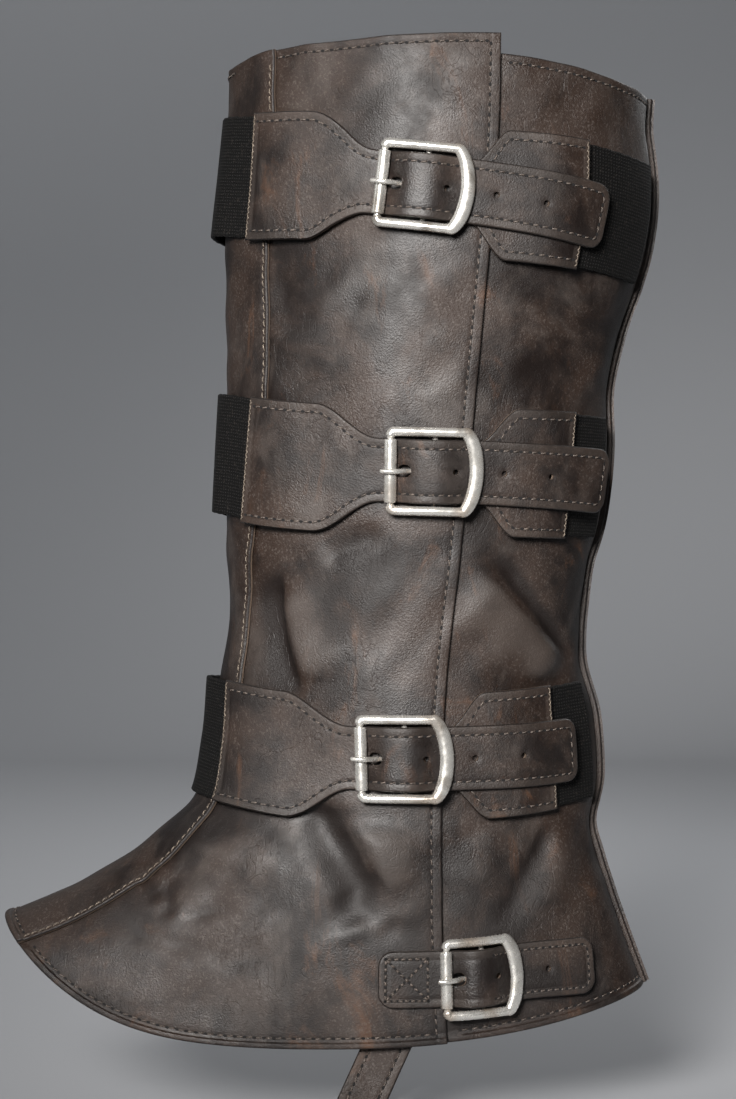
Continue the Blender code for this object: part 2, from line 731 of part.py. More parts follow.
def make_roller(name, path, size):
    """The thin sleeve that turns on the frame's front pin."""
    sides = 10
    reach = size.half_t - 3.1
    turns = np.radians(np.arange(sides + 1) * 360 / sides)
    grids = []
    for radius in (PIN_RADIUS + 0.4, size.roller):
        s = size.left + radius * np.cos(turns)[:, None] + np.zeros((1, 2))
        h = ROLLER_HEIGHT + radius * np.sin(turns)[:, None] + np.zeros((1, 2))
        t = np.array([[-reach, reach]]) + np.zeros((sides + 1, 1))
        grids.append(path.point(s[:-1], t[:-1], h[:-1]))
    inner, outer = grids
    points = [*inner.reshape(-1, 3), *outer.reshape(-1, 3)]
    layer = 2 * sides
    faces = []
    for k in range(sides):
        a, b = 2 * k, 2 * ((k + 1) % sides)
        faces.append((a, b, b + 1, a + 1))
        faces.append((a + layer, a + 1 + layer, b + 1 + layer, b + layer))
        faces.append((a, a + layer, b + layer, b))
        faces.append((a + 1, b + 1, b + 1 + layer, a + 1 + layer))
    add_object(f"roller_{name}", points, faces, "metal")


PRONG_RADIUS = 1.05
EYE_RADIUS = 0.8


def make_prong(name, path, size):
    """The tongue: an eye round the centre bar, up through the billet's hole, and over the roller."""
    over_roller = ROLLER_HEIGHT + size.roller + 0.35 + PRONG_RADIUS
    eye = BAR_RADIUS + 0.25 + EYE_RADIUS
    line = [
        (eye * math.sin(turn), BAR_HEIGHT - eye * math.cos(turn), EYE_RADIUS)
        for turn in np.radians([30, 75, 120, 165, 205, 236])
    ]
    line += [
        (-4.3, 4.4, 0.9), (size.left + 9.5, 3.8, 0.9), (size.left + 7.5, 3.8, 0.95),
        (size.left + 6.0, 4.7, PRONG_RADIUS), (size.left + 4.7, 6.3, PRONG_RADIUS),
        (size.left + 2.8, over_roller - 0.9, PRONG_RADIUS), (size.left, over_roller, PRONG_RADIUS),
        (size.left - 2.6, over_roller - 0.3, 0.95), (size.left - 3.6, over_roller - 0.6, 0.55),
    ]
    sides = 6
    centres = [(s, 0.0, h) for s, h, _ in line]
    rings = rod_rings(path, centres, [radius for _, _, radius in line], sides)
    add_object(f"prong_{name}", rings.reshape(-1, 3), ring_faces(len(rings), sides, False), "metal")


# Webbing
WEBBING_INNER_END = -50.0
WEBBING_BACK_END = 166.0


def make_webbing(name, path, strap):
    """Two elastic pieces: over the shin to the inner side, and from the chape to the back seam."""
    half = WEBBING_WIDTH / 2 - 0.6
    t = np.linspace(-half, half, 5)
    seam = float(section("seam", strap["level"]))
    billet_start = strap["billet_start"]

    def in_front(s):
        """In front the webbing stands clear of the shin strip, more at one edge than at the other."""
        angle = path.angle_at(s)
        window = smooth(-38, -10, angle) * (1 - smooth(billet_start - 28, billet_start - 10, s))
        share = (t + half) / (2 * half)
        settled = (LEATHER + GAP) * (1 - smooth(-seam - 11, -seam - 3, angle))
        return window * (strap["flare_bottom"] * (1 - share) + strap["flare_top"] * share) - settled

    def behind(s):
        return np.full(t.shape, 0.2)

    inner_end = path.s_at(WEBBING_INNER_END)
    back_end = path.s_at(WEBBING_BACK_END)
    parts = (
        ("front", inner_end, billet_start + WEBBING_LAP, in_front),
        ("back", strap["chape_end"] - WEBBING_LAP, back_end, behind),
    )
    for part, start, end, lift in parts:
        stations = np.linspace(start, end, 2 + round((end - start) / 6.0))
        inner = np.array([path.point(s, t, lift(s)) for s in stations])
        outer = np.array([path.point(s, t, lift(s) + WEBBING_THICK) for s in stations])
        wall(f"webbing_{part}_{name}", inner, outer, "webbing")


def make_straps():
    for row in STRAPS:
        strap = dict(zip(STRAP_COLUMNS, row))
        name = strap["name"]
        front, tilt, back = strap["front_tilt"], strap["tilt"], strap["back_tilt"]
        billet_path = StrapPath(strap["level"], (0, front, tilt, tilt, tilt), strap["bar_angle"])
        path = StrapPath(strap["level"], (0, front, tilt, tilt, back), strap["bar_angle"])
        holes = [(FIRST_HOLE, PRONG_HOLE_RADIUS)]
        holes += [(FIRST_HOLE + HOLE_PITCH * k, HOLE_RADIUS) for k in (1, 2, 3)]
        start = strap["billet_start"]
        front_webbing = start + WEBBING_LAP
        back_webbing = strap["chape_end"] - WEBBING_LAP

        size = Buckle(BILLET_WIDTH + BUCKLE_EASE)
        line = billet_line(size)

        def bottom(s):
            return billet_height(s, line, front_webbing, back_webbing, strap["tip_lift"])

        make_billet(
            f"billet_{name}", billet_path, start, BILLET_TIP, BILLET_WIDTH, holes, line, bottom, True,
            strap["shear"],
        )
        make_chape(f"chape_{name}", path, strap["chape_end"], BILLET_WIDTH - CHAPE_NARROWER, True)
        make_buckle(name, path, size)
        make_webbing(name, path, strap)


# Heel strap: short, with no webbing
HEEL_LEVEL, HEEL_TILTS, HEEL_BAR_ANGLE = -320.0, (-2, -2, -2, -4, -12), 119.0
HEEL_WIDTH = 22.4
HEEL_START, HEEL_TIP = -42.0, 48.0
HEEL_HOLES = (-9.8, 6.0, 28.0)
HEEL_CHAPE_END = 32.0


def make_heel_strap():
    path = StrapPath(HEEL_LEVEL, HEEL_TILTS, HEEL_BAR_ANGLE, settle=(114.0, 128.0))
    holes = [(HEEL_HOLES[0], PRONG_HOLE_RADIUS)] + [(s, HOLE_RADIUS) for s in HEEL_HOLES[1:]]
    size = Buckle(HEEL_WIDTH + BUCKLE_EASE)
    line = billet_line(size)

    def bottom(s):
        return billet_height(s, line)

    make_billet("billet_heel", path, HEEL_START, HEEL_TIP, HEEL_WIDTH, holes, line, bottom, False)
    make_chape("chape_heel", path, HEEL_CHAPE_END, HEEL_WIDTH - CHAPE_NARROWER, False)
    make_buckle("heel", path, size)


# Stirrup: a strap from inside the hem, under the arch of the shoe and up the other side
STIRRUP_WIDTH = 18.5
STIRRUP_TOP_LEVEL = -322.0
STIRRUP_BOTTOM = -384.0
STIRRUP_CORNER = 14.0
STIRRUP_X_TOP, STIRRUP_X_BOTTOM = -11.0, -39.5
STIRRUP_CLEARANCE = 1.7
STIRRUP_SKEW = 4.0


def stirrup_side(side):
    """The stirrup's middle line from inside the hem down. side is -1 outside and 1 inside the leg."""
    mid_z = STIRRUP_BOTTOM + STIRRUP_THICK / 2
    skew = STIRRUP_SKEW * (1 + side)
    line = []
    for z in (STIRRUP_TOP_LEVEL, -334.0, HEM_LEVEL, -357.0, mid_z + STIRRUP_CORNER):
        x = stirrup_x(z) + skew
        half = wall_half_width(x, max(z, HEM_LEVEL)) - STIRRUP_CLEARANCE - STIRRUP_THICK / 2
        line.append((x, side * half, z))
    bend_y = side * (half - STIRRUP_CORNER)
    for turn in np.radians([30, 60, 90]):
        z = mid_z + STIRRUP_CORNER * (1 - math.sin(turn))
        line.append((stirrup_x(z) + skew, bend_y + side * STIRRUP_CORNER * math.cos(turn), z))
    return line


def make_stirrup():
    """Down the outer side, under the arch and up the inner side."""
    down, up = stirrup_side(-1), stirrup_side(1)[::-1]
    line = np.array(down + [tuple((np.array(down[-1]) + up[0]) / 2)] + up)
    ahead = np.gradient(line, axis=0)
    ahead /= np.linalg.norm(ahead, axis=1, keepdims=True)
    away = np.stack([np.zeros(len(line)), ahead[:, 2], -ahead[:, 1]], axis=1)
    away /= np.linalg.norm(away, axis=1, keepdims=True)
    across = np.cross(away, ahead)
    across /= np.linalg.norm(across, axis=1, keepdims=True)
    shares = np.linspace(-0.5, 0.5, 3)[None, :, None] * STIRRUP_WIDTH
    grids = []
    for side in (1, -1):
        edge = line + away * side * STIRRUP_THICK / 2
        grids.append(edge[:, None, :] + across[:, None, :] * shares)
    outer, inner = grids
    bottom = np.isclose(line[:, 2], STIRRUP_BOTTOM + STIRRUP_THICK / 2)
    outer[bottom, :, 2] = STIRRUP_BOTTOM
    inner[bottom, :, 2] = STIRRUP_BOTTOM + STIRRUP_THICK
    wall("stirrup", inner, outer, "leather")


def stirrup_x(z):
    """The stirrup slants forward on its way down."""
    share = np.clip((STIRRUP_TOP_LEVEL - z) / (STIRRUP_TOP_LEVEL - STIRRUP_BOTTOM), 0, 1)
    return STIRRUP_X_TOP + (STIRRUP_X_BOTTOM - STIRRUP_X_TOP) * share


def wall_half_width(x, level):
    """Half the width of the form at a place along the shoe."""
    angles = np.linspace(20, 160, 281)
    ring = leg(angles, level)
    return float(np.interp(x, ring[:, 0], -ring[:, 1]))


def main():
    for left_over in list(bpy.data.objects):
        bpy.data.objects.remove(left_over)
    make_panels()
    make_straps()
    make_heel_strap()
    make_stirrup()


main()
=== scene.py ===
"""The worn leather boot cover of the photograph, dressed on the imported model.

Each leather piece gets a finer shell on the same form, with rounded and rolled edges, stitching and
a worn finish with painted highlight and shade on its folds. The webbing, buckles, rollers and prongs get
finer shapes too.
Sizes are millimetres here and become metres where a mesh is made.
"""

import math

import bpy
import numpy as np
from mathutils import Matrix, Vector


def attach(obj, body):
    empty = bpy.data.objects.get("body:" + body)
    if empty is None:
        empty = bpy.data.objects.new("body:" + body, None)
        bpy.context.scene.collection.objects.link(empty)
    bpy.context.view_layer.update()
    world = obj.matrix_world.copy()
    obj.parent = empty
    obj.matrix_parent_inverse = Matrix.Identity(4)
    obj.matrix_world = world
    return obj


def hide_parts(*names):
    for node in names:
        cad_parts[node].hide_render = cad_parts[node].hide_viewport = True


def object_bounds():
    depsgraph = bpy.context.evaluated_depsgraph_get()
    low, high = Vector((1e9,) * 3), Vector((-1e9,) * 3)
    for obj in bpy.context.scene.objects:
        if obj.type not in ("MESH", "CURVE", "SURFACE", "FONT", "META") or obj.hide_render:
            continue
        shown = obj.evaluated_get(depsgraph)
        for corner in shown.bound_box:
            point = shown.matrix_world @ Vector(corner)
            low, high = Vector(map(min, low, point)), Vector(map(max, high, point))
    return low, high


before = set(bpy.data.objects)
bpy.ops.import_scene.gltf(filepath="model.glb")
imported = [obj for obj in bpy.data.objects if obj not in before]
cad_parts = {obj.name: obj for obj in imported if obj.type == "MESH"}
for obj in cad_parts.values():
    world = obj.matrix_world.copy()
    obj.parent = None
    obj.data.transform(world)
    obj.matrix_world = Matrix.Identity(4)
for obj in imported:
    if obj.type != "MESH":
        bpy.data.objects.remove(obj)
CAD_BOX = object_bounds()

MM = 0.001

# Leather, webbing and the space between pieces
LEATHER = 2.0
GAP = 0.5
BILLET_THICK = 2.2
CHAPE_THICK = 1.4
WEBBING_THICK = 1.6
STIRRUP_THICK = 2.6

# Form of the leg and shoe inside the leather, one row for each section from the hem up.
# Each section is a closed ring: level is its height at the side of the leg.
SECTION_COLUMNS = (
    "level", "front_x", "front_z", "back_x", "back_z", "half_width", "square", "seam", "flap",
)
SECTIONS = (
    (-346, -178.0, -302.0, 82.0, -327.5, 49.0, 0.74, 18.5, 112.5),
    (-325, -158.5, -294.0, 74.7, -308.0, 50.0, 0.76, 21.9, 111.5),
    (-300, -135.5, -282.7, 66.7, -285.0, 50.0, 0.80, 25.1, 109.7),
    (-275, -114.8, -267.6, 60.6, -264.0, 49.5, 0.86, 28.3, 107.6),
    (-252, -97.5, -251.0, 58.0, -247.0, 49.5, 0.92, 26.8, 104.3),
    (-230, -90.3, -226.0, 56.9, -228.0, 50.0, 0.97, 25.5, 103.0),
    (-205, -86.3, -200.0, 55.3, -205.0, 50.5, 1.00, 27.5, 103.4),
    (-180, -82.4, -174.0, 55.7, -181.0, 51.5, 0.96, 25.8, 103.7),
    (-155, -83.4, -148.0, 58.0, -157.0, 53.5, 0.92, 29.6, 105.3),
    (-116, -83.6, -109.0, 63.0, -118.0, 57.0, 0.90, 35.5, 105.9),
    (-85, -83.4, -77.0, 65.8, -88.0, 60.0, 0.92, 38.3, 106.6),
    (-55, -84.0, -46.0, 71.9, -59.0, 62.5, 0.96, 38.3, 105.9),
    (-30, -84.2, -20.5, 78.5, -34.5, 64.0, 1.00, 37.6, 104.6),
    (-4, -83.5, 5.5, 83.0, -8.5, 65.0, 1.00, 37.9, 104.2),
    (25, -83.0, 34.0, 83.2, 20.0, 66.0, 1.00, 39.2, 105.0),
    (65, -82.5, 73.0, 84.5, 59.0, 67.0, 1.00, 37.5, 104.8),
)
FRONT_POWER = 3.5
BACK_POWER = 2.45

HEM_LEVEL = -346.0
SECTION = np.array(SECTIONS)
LEVELS = SECTION[:, 0]


def section(name, level):
    """One column of the section table at any level, on a smooth curve through its rows."""
    values = SECTION[:, SECTION_COLUMNS.index(name)]
    slopes = np.gradient(values, LEVELS)
    level = np.clip(np.asarray(level, float), LEVELS[0], LEVELS[-1])
    i = np.clip(np.searchsorted(LEVELS, level, side="right") - 1, 0, len(LEVELS) - 2)
    step = LEVELS[i + 1] - LEVELS[i]
    t = (level - LEVELS[i]) / step
    return (
        values[i] * (1 + 2 * t) * (1 - t) ** 2
        + values[i + 1] * t * t * (3 - 2 * t)
        + slopes[i] * step * t * (1 - t) ** 2
        + slopes[i + 1] * step * t * t * (t - 1)
    )


def smooth(low, high, value):
    """0 below low, 1 above high, and an even S-curve between."""
    t = np.clip((np.asarray(value, float) - low) / (high - low), 0, 1)
    return t * t * (3 - 2 * t)


def unit(vectors):
    return vectors / np.linalg.norm(vectors, axis=-1, keepdims=True)


def far_along(line):
    """Distance from the start of a line to each of its points."""
    return np.concatenate([[0], np.cumsum(np.linalg.norm(np.diff(line, axis=0), axis=1))])


def along_rows(values, places, at):
    """Rows of three numbers, read at any place between them."""
    return np.stack([np.interp(at, places, values[:, k]) for k in range(3)], axis=-1)


def round_turns(sides, twist=0.0):
    """The angles of a ring's corners, in radians."""
    return np.radians(np.arange(sides) * 360 / sides + twist)


def leg(angle, level):
    """A point of the form: angle is 0 at the shin, 90 on the outer side and 180 at the back, in degrees."""
    angle, level = np.broadcast_arrays(np.asarray(angle, float), np.asarray(level, float))
    turn = np.radians(angle)
    front_x, back_x = section("front_x", level), section("back_x", level)
    toward_front = np.cos(turn)
    side = np.sin(turn)
    x = (front_x + back_x) / 2 - (back_x - front_x) / 2 * toward_front
    y = -section("half_width", level) * np.sign(side) * np.abs(side) ** section("square", level)
    z = (
        level
        + (section("front_z", level) - level) * np.clip(toward_front, 0, 1) ** FRONT_POWER
        + (section("back_z", level) - level) * np.clip(-toward_front, 0, 1) ** BACK_POWER
    )
    return np.stack([x, y, z], axis=-1)


ANGLE_STEP = 1.0
LEVEL_STEP = 1.0


def leg_slopes(angle, level):
    """How the form's point moves with one degree of angle and with one millimetre of level."""
    low = np.clip(np.asarray(level, float) - LEVEL_STEP, LEVELS[0], LEVELS[-1] - 2 * LEVEL_STEP)
    by_angle = (leg(angle + ANGLE_STEP, level) - leg(angle - ANGLE_STEP, level)) / (2 * ANGLE_STEP)
    by_level = (leg(angle, low + 2 * LEVEL_STEP) - leg(angle, low)) / (2 * LEVEL_STEP)
    return by_angle, by_level


def outward(angle, level):
    """The direction square to the form, away from the leg."""
    return unit(np.cross(*leg_slopes(np.asarray(angle, float), level)))


# Straps: the level of the middle line, its tilts in degrees in front, at the buckle and behind it,
# the angle of the buckle's centre bar, where the front piece starts and how far its tip stands up,
# where the back piece ends, and how far the back seam and the webbing's two edges stand away
STRAP_COLUMNS = (
    "name", "level", "front_tilt", "tilt", "back_tilt", "bar_angle", "billet_start", "shear", "tip_lift",
    "chape_end", "bulge", "flare_top", "flare_bottom",
)
STRAP_ROWS = (
    ("top", -4.6, 6.0, -6.0, -1.5, 86.0, -76.0, 0.0, 0.0, 66.0, 2.4, 0.0, 4.0),
    ("middle", -115.5, 0.0, -1.0, 1.0, 95.2, -79.5, 0.0, 4.0, 60.0, 3.4, 1.7, 4.0),
    ("ankle", -230.0, -3.6, 0.0, 2.0, 91.6, -79.0, -0.13, 0.0, 64.0, 6.0, 3.5, 0.4),
)
STRAPS = [dict(zip(STRAP_COLUMNS, row)) for row in STRAP_ROWS]
WEBBING_WIDTH = 50.0
STRAP_BASE = 2 * (LEATHER + GAP)

# The closed back seam: its fin, and the stretch over which it stands away from the leg beside a strap
FIN_HEIGHT = 3.6
FIN_TURN = 176.0
BULGE_LENGTH = 30.0
BULGE_START, BULGE_FULL = 152.0, 178.0


def back_bulge(angle, level):
    """The back seam stands away from the leg beside each strap."""
    out = np.zeros(np.broadcast(angle, level).shape)
    for strap in STRAPS:
        out = out + strap["bulge"] * np.exp(-(((level - strap["level"]) / BULGE_LENGTH) ** 4))
    return out * smooth(BULGE_START, BULGE_FULL, np.abs(angle))


# Folds and creases of the leather. Each runs down a line of angle and level points, and stands out by its
# height, with its own width on the left and on the right of the line. Below 0 it is a trough.
CREASES = (
    (-3.3, 11.0, 4.0, ((41.5, -150), (41.5, -173), (44.5, -187), (51, -200), (57, -214))),
    (2.4, 4.5, 15.0, ((46, -160), (49, -180), (56, -196), (62, -206))),
    (-1.8, 4.0, 6.0, ((58.5, -153), (68.5, -147), (84, -140))),
    (-1.2, 6.0, 9.0, ((40, -36), (44, -50), (46, -68))),
    (-0.7, 4.0, 5.0, ((66, -50), (72, -53), (79, -52))),
    (0.9, 7.0, 9.0, ((58, -40), (60, -60), (57, -80))),
    (
        -5.2, 7.5, 7.0,
        ((58, -242), (67.5, -252), (74.5, -262), (82, -273), (87, -281), (88.5, -291), (88, -307)),
    ),
    (3.6, 5.0, 11.0, ((69, -243), (79, -254), (88, -266), (95, -279), (98, -290))),
    (2.0, 6.0, 5.0, ((92, -292), (89, -303), (86.5, -313), (85, -324))),
    (-1.7, 4.0, 8.0, ((100, -292), (97, -304), (93, -318))),
    (1.3, 7.0, 8.0, ((34, -262), (49, -267), (62, -277), (70, -288))),
    (-0.8, 6.0, 5.0, ((28, -281), (44, -285), (58, -293))),
    (-1.3, 2.5, 3.5, ((18, -290), (28, -293), (38, -299))),
    (-1.1, 2.5, 3.0, ((30, -287), (38, -294), (45, -304))),
    (-0.8, 3.0, 3.5, ((45, -303), (52, -296), (62, -292))),
    (-1.0, 3.0, 4.0, ((26, -308), (40, -312), (56, -311), (70, -317))),
    (0.9, 3.0, 4.0, ((28.5, -271), (43.5, -273), (54.5, -276))),
    (2.8, 17.0, 6.5, ((104, -150), (117, -163), (126, -173), (141, -187), (158, -200))),
    (-3.0, 5.5, 4.0, ((111, -145), (126, -158), (136, -169), (150, -182), (165, -194))),
    (-1.2, 6.0, 5.0, ((158, -196), (142, -203), (127, -206))),
    (-2.4, 5.0, 7.0, ((144, -258), (139, -274), (132.5, -285), (127, -298), (122, -309))),
    (1.6, 6.0, 8.0, ((150, -262), (147, -278), (141, -292), (135, -306))),
    (-1.2, 6.0, 7.0, ((165, -265), (158, -287), (150, -306))),
    (1.2, 9.0, 7.0, ((118, -258), (121, -272), (117, -288))),
    (-1.0, 6.0, 8.0, ((128, -40), (136, -62), (147, -84))),
    (-2.6, 4.0, 7.0, ((-50, -148), (-58, -170), (-64, -190), (-62, -208))),
    (2.2, 7.0, 12.0, ((-72, -152), (-80, -172), (-86, -196))),
    (-2.4, 5.0, 6.0, ((-112, -148), (-126, -166), (-142, -190))),
    (-3.6, 5.0, 6.5, ((-60, -246), (-72, -262), (-84, -280), (-88, -302))),
    (2.6, 8.0, 6.0, ((-74, -250), (-86, -264), (-98, -284))),
    (-1.3, 3.0, 4.0, ((-30, -288), (-42, -296), (-50, -306))),
    (-2.0, 6.0, 6.0, ((-146, -260), (-138, -280), (-130, -300))),
    (-1.2, 6.0, 8.0, ((-60, -40), (-66, -60), (-62, -84))),
)
TAPER = 0.3
RIDGE_CLEAR, TROUGH_CLEAR = (23, 34), (14, 24)
RIPPLE_HEIGHT = 0.12
RIPPLES = (
    (0.21, 0.13, 0.05, 0.4), (-0.11, 0.17, 0.19, 1.9), (0.06, -0.23, 0.15, 3.1), (0.29, 0.08, -0.17, 4.4),
    (0.09, 0.31, -0.24, 5.2), (-0.33, 0.12, 0.27, 0.9),
)


def crease(angle, level, left, right, line):
    """Share of its height that a crease has at each place: 1 on its line, less beside it and at its ends."""
    line = np.array(line, float)
    middle = line[len(line) // 2]
    scale = np.array([np.linalg.norm(leg_slopes(*middle)[0]), 1.0])
    points = line * scale
    here = np.stack([angle, level], axis=-1) * scale
    passed = far_along(points)
    nearest = np.full(angle.shape, 1e9)
    side, share = np.zeros(angle.shape), np.zeros(angle.shape)
    for start, end, before, after in zip(points[:-1], points[1:], passed[:-1], passed[1:]):
        ahead = unit(end - start)
        along = np.clip((here - start) @ ahead, 0, after - before)
        away = here - start - along[..., None] * ahead
        distance = np.linalg.norm(away, axis=-1)
        closer = distance < nearest
        nearest = np.where(closer, distance, nearest)
        side = np.where(closer, away @ np.array([-ahead[1], ahead[0]]), side)
        share = np.where(closer, (before + along) / passed[-1], share)
    width = np.where(side > 0, right, left)
    return np.exp(-((nearest / width) ** 2)) * smooth(0, TAPER, share) * smooth(0, TAPER, 1 - share)


def clear_of_straps(level, start, end):
    """0 up to start millimetres from the middle of a strap, and 1 from end millimetres on."""
    return math.prod(smooth(start, end, np.abs(level - strap["level"])) for strap in STRAPS)


def relief(angle, level):
    """Folds, creases and ripples. Ridges stay clear of the straps, troughs run a little way under them."""
    angle, level = np.broadcast_arrays(np.asarray(angle, float), np.asarray(level, float))
    ridges, troughs = np.zeros(angle.shape), np.zeros(angle.shape)
    for height, left, right, line in CREASES:
        kind = ridges if height > 0 else troughs
        kind += height * crease(angle, level, left, right, line)
    here = leg(angle, level)
    for *wave, phase in RIPPLES:
        ridges += RIPPLE_HEIGHT * np.sin(here @ np.array(wave) + phase)
    moved = ridges * clear_of_straps(level, *RIDGE_CLEAR) + troughs * clear_of_straps(level, *TROUGH_CLEAR)
    above_hem = smooth(HEM_LEVEL + 14, HEM_LEVEL + 40, level)
    heel_strap = 1 - smooth(62, 72, angle) * (1 - smooth(HEM_LEVEL + 40, HEM_LEVEL + 52, level))
    return moved * above_hem * heel_strap


def surface_point(angle, level, offset):
    """A point offset millimetres out from the form, on the finely shaped leather."""
    moved = offset + relief(angle, level) + back_bulge(angle, level)
    return leg(angle, level) + outward(angle, level) * np.asarray(moved)[..., None]


# Pieces
def ride(made, look, *nodes):
    """Gives a piece its material and the CAD nodes it stands for."""
    made.data.materials.append(LOOKS[look])
    if nodes:
        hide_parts(*nodes)
    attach(made, "root")


def add_object(name, data):
    made = bpy.data.objects.new(name, data)
    bpy.context.scene.collection.objects.link(made)
    return made


def mesh_object(name, points, faces, smooth_angle=50.0):
    """A mesh from points in millimetres. Edges that turn by more than smooth_angle degrees stay sharp."""
    mesh = bpy.data.meshes.new(name)
    mesh.from_pydata((np.asarray(points) * MM).tolist(), [], faces)
    mesh.validate()
    mesh.shade_smooth()
    mesh.set_sharp_from_angle(angle=math.radians(smooth_angle))
    return add_object(name, mesh)


def shell(name, face, back, marks, left_out=None, flesh=None):
    """A closed wall between its finished face and its back, two grids of points.

    marks gives numbers for the face's points by name; on the back they are 0. left_out marks cells with no
    leather. flesh is 1 where the back shows the leather's raw side, which is everywhere unless it is given.
    """
    rows, columns = face.shape[:2]
    layer = rows * columns
    index = np.arange(layer).reshape(rows, columns)
    quads = np.stack([index[:-1, :-1], index[:-1, 1:], index[1:, 1:], index[1:, :-1]], axis=-1)
    front = quads.reshape(-1, 4) if left_out is None else quads[~left_out]
    across, up = face[0, 1] - face[0, 0], face[1, 0] - face[0, 0]
    if np.dot(np.cross(across, up), face[0, 0] - back[0, 0]) < 0:
        front = front[:, ::-1]
    pairs = set(zip(front.ravel().tolist(), np.roll(front, -1, axis=1).ravel().tolist()))
    rim = np.array([(b, a, a + layer, b + layer) for a, b in pairs if (b, a) not in pairs])
    used, faces = np.unique(np.concatenate([front, front[:, ::-1] + layer, rim]), return_inverse=True)
    points = np.concatenate([face.reshape(-1, 3), back.reshape(-1, 3)])[used]
    made = mesh_object(name, points, faces.reshape(-1, 4).tolist())
    blank = np.zeros(layer)
    layers = {mark: (numbers, blank) for mark, numbers in marks.items()}
    layers["flesh"] = (blank, np.ones(layer) if flesh is None else flesh)
    for mark, both in layers.items():
        values = np.concatenate([np.ravel(numbers) for numbers in both])[used]
        kept = made.data.attributes.new(mark, "FLOAT", "POINT")
        kept.data.foreach_set("value", values.astype(np.float32))
    return made


# Edges: how a cut edge is rounded, where its stitch line presses in, and the grid lines that show both
EDGE_ROUND, BACK_ROUND = 0.8, 0.4
PRESS_WIDTH, PRESS_DEPTH = 0.8, 0.22
PANEL_FADE, STRAP_FADE = 1.1, 0.9
MARGIN = np.array([0, 0.2, 0.5, 0.9, 1.6, 2.4, 3.0, 3.5, 3.9, 4.4, 5.0, 6.0, 7.4])
FIN_MARGIN = np.array([0.0, 1.0, 2.0])
FAR = 200.0


def edge_drop(depth, radius=EDGE_ROUND):
    """How far a face falls away towards an edge, at a distance in from it."""
    near = radius - np.clip(depth, 0, radius)
    return radius - np.sqrt(radius**2 - near**2)


def pressed(depth, line):
    """How deep a stitch line has pressed in, at a distance from the edge."""
    return PRESS_DEPTH * np.exp(-(((depth - line) / PRESS_WIDTH) ** 2))


def edge_mark(depth, fade):
    return np.exp(-np.clip(depth, 0, None) / fade)


# Panels: rows run up from the hem, columns run round the leg
HEM_BEAD, HEM_ROLL = 0.9, 3.0
MAIN_TOP = 36.0
LAP_DEGREES, UNDERLAP_DEGREES = 5.0, 20.0
WIDTH_LEVEL = -60.0
# Fold relief at which the painted fold highlight and painted fold shade are full
FOLD_SHADE_FULL = 2.5
HEM_STITCH, RIM_STITCH, FLAP_STITCH, SEAM_STITCH = 4.6, 3.4, 4.2, 1.5

# Where each panel's top edge is cut: angle round the leg and level
RIMS = {
    "shin_strip": ((0, 42.0), (12, 42.3), (24, 45.2), (37, 49.7), (60, 53.8)),
    "side_panel": ((24, 45.2), (37, 49.7), (50, 52.5), (75, 55.3), (106, 56.6)),
    "back_panel": ((84, 49.5), (106, 48.8), (120, 47.7), (150, 45.0), (180, 45.2)),
    "inner_panel": ((24, 45.2), (37, 49.7), (60, 51.5), (106, 49.0), (150, 45.5), (180, 45.2)),
}


def top_level(name, angle):
    rim = np.array(RIMS[name], float)
    return np.interp(np.abs(angle), rim[:, 0], rim[:, 1])


def hem_rise(angle):
    """How far the leather runs for one millimetre of level, at the hem."""
    return np.linalg.norm(leg_slopes(angle, np.full(np.shape(angle), HEM_LEVEL))[1], axis=-1)


def per_degree(angle, level):
    return np.linalg.norm(leg_slopes(angle, level)[0], axis=-1)


def lies_flat(angle, level):
    return np.zeros(np.broadcast(angle, level).shape)


def on_side_panels(angle, level):
    return np.full(np.broadcast(angle, level).shape, LEATHER + GAP)


def over_back_panel(angle, level):
    under = section("flap", level) - UNDERLAP_DEGREES
    return (LEATHER + GAP) * smooth(under - 26, under - 4.5, angle)


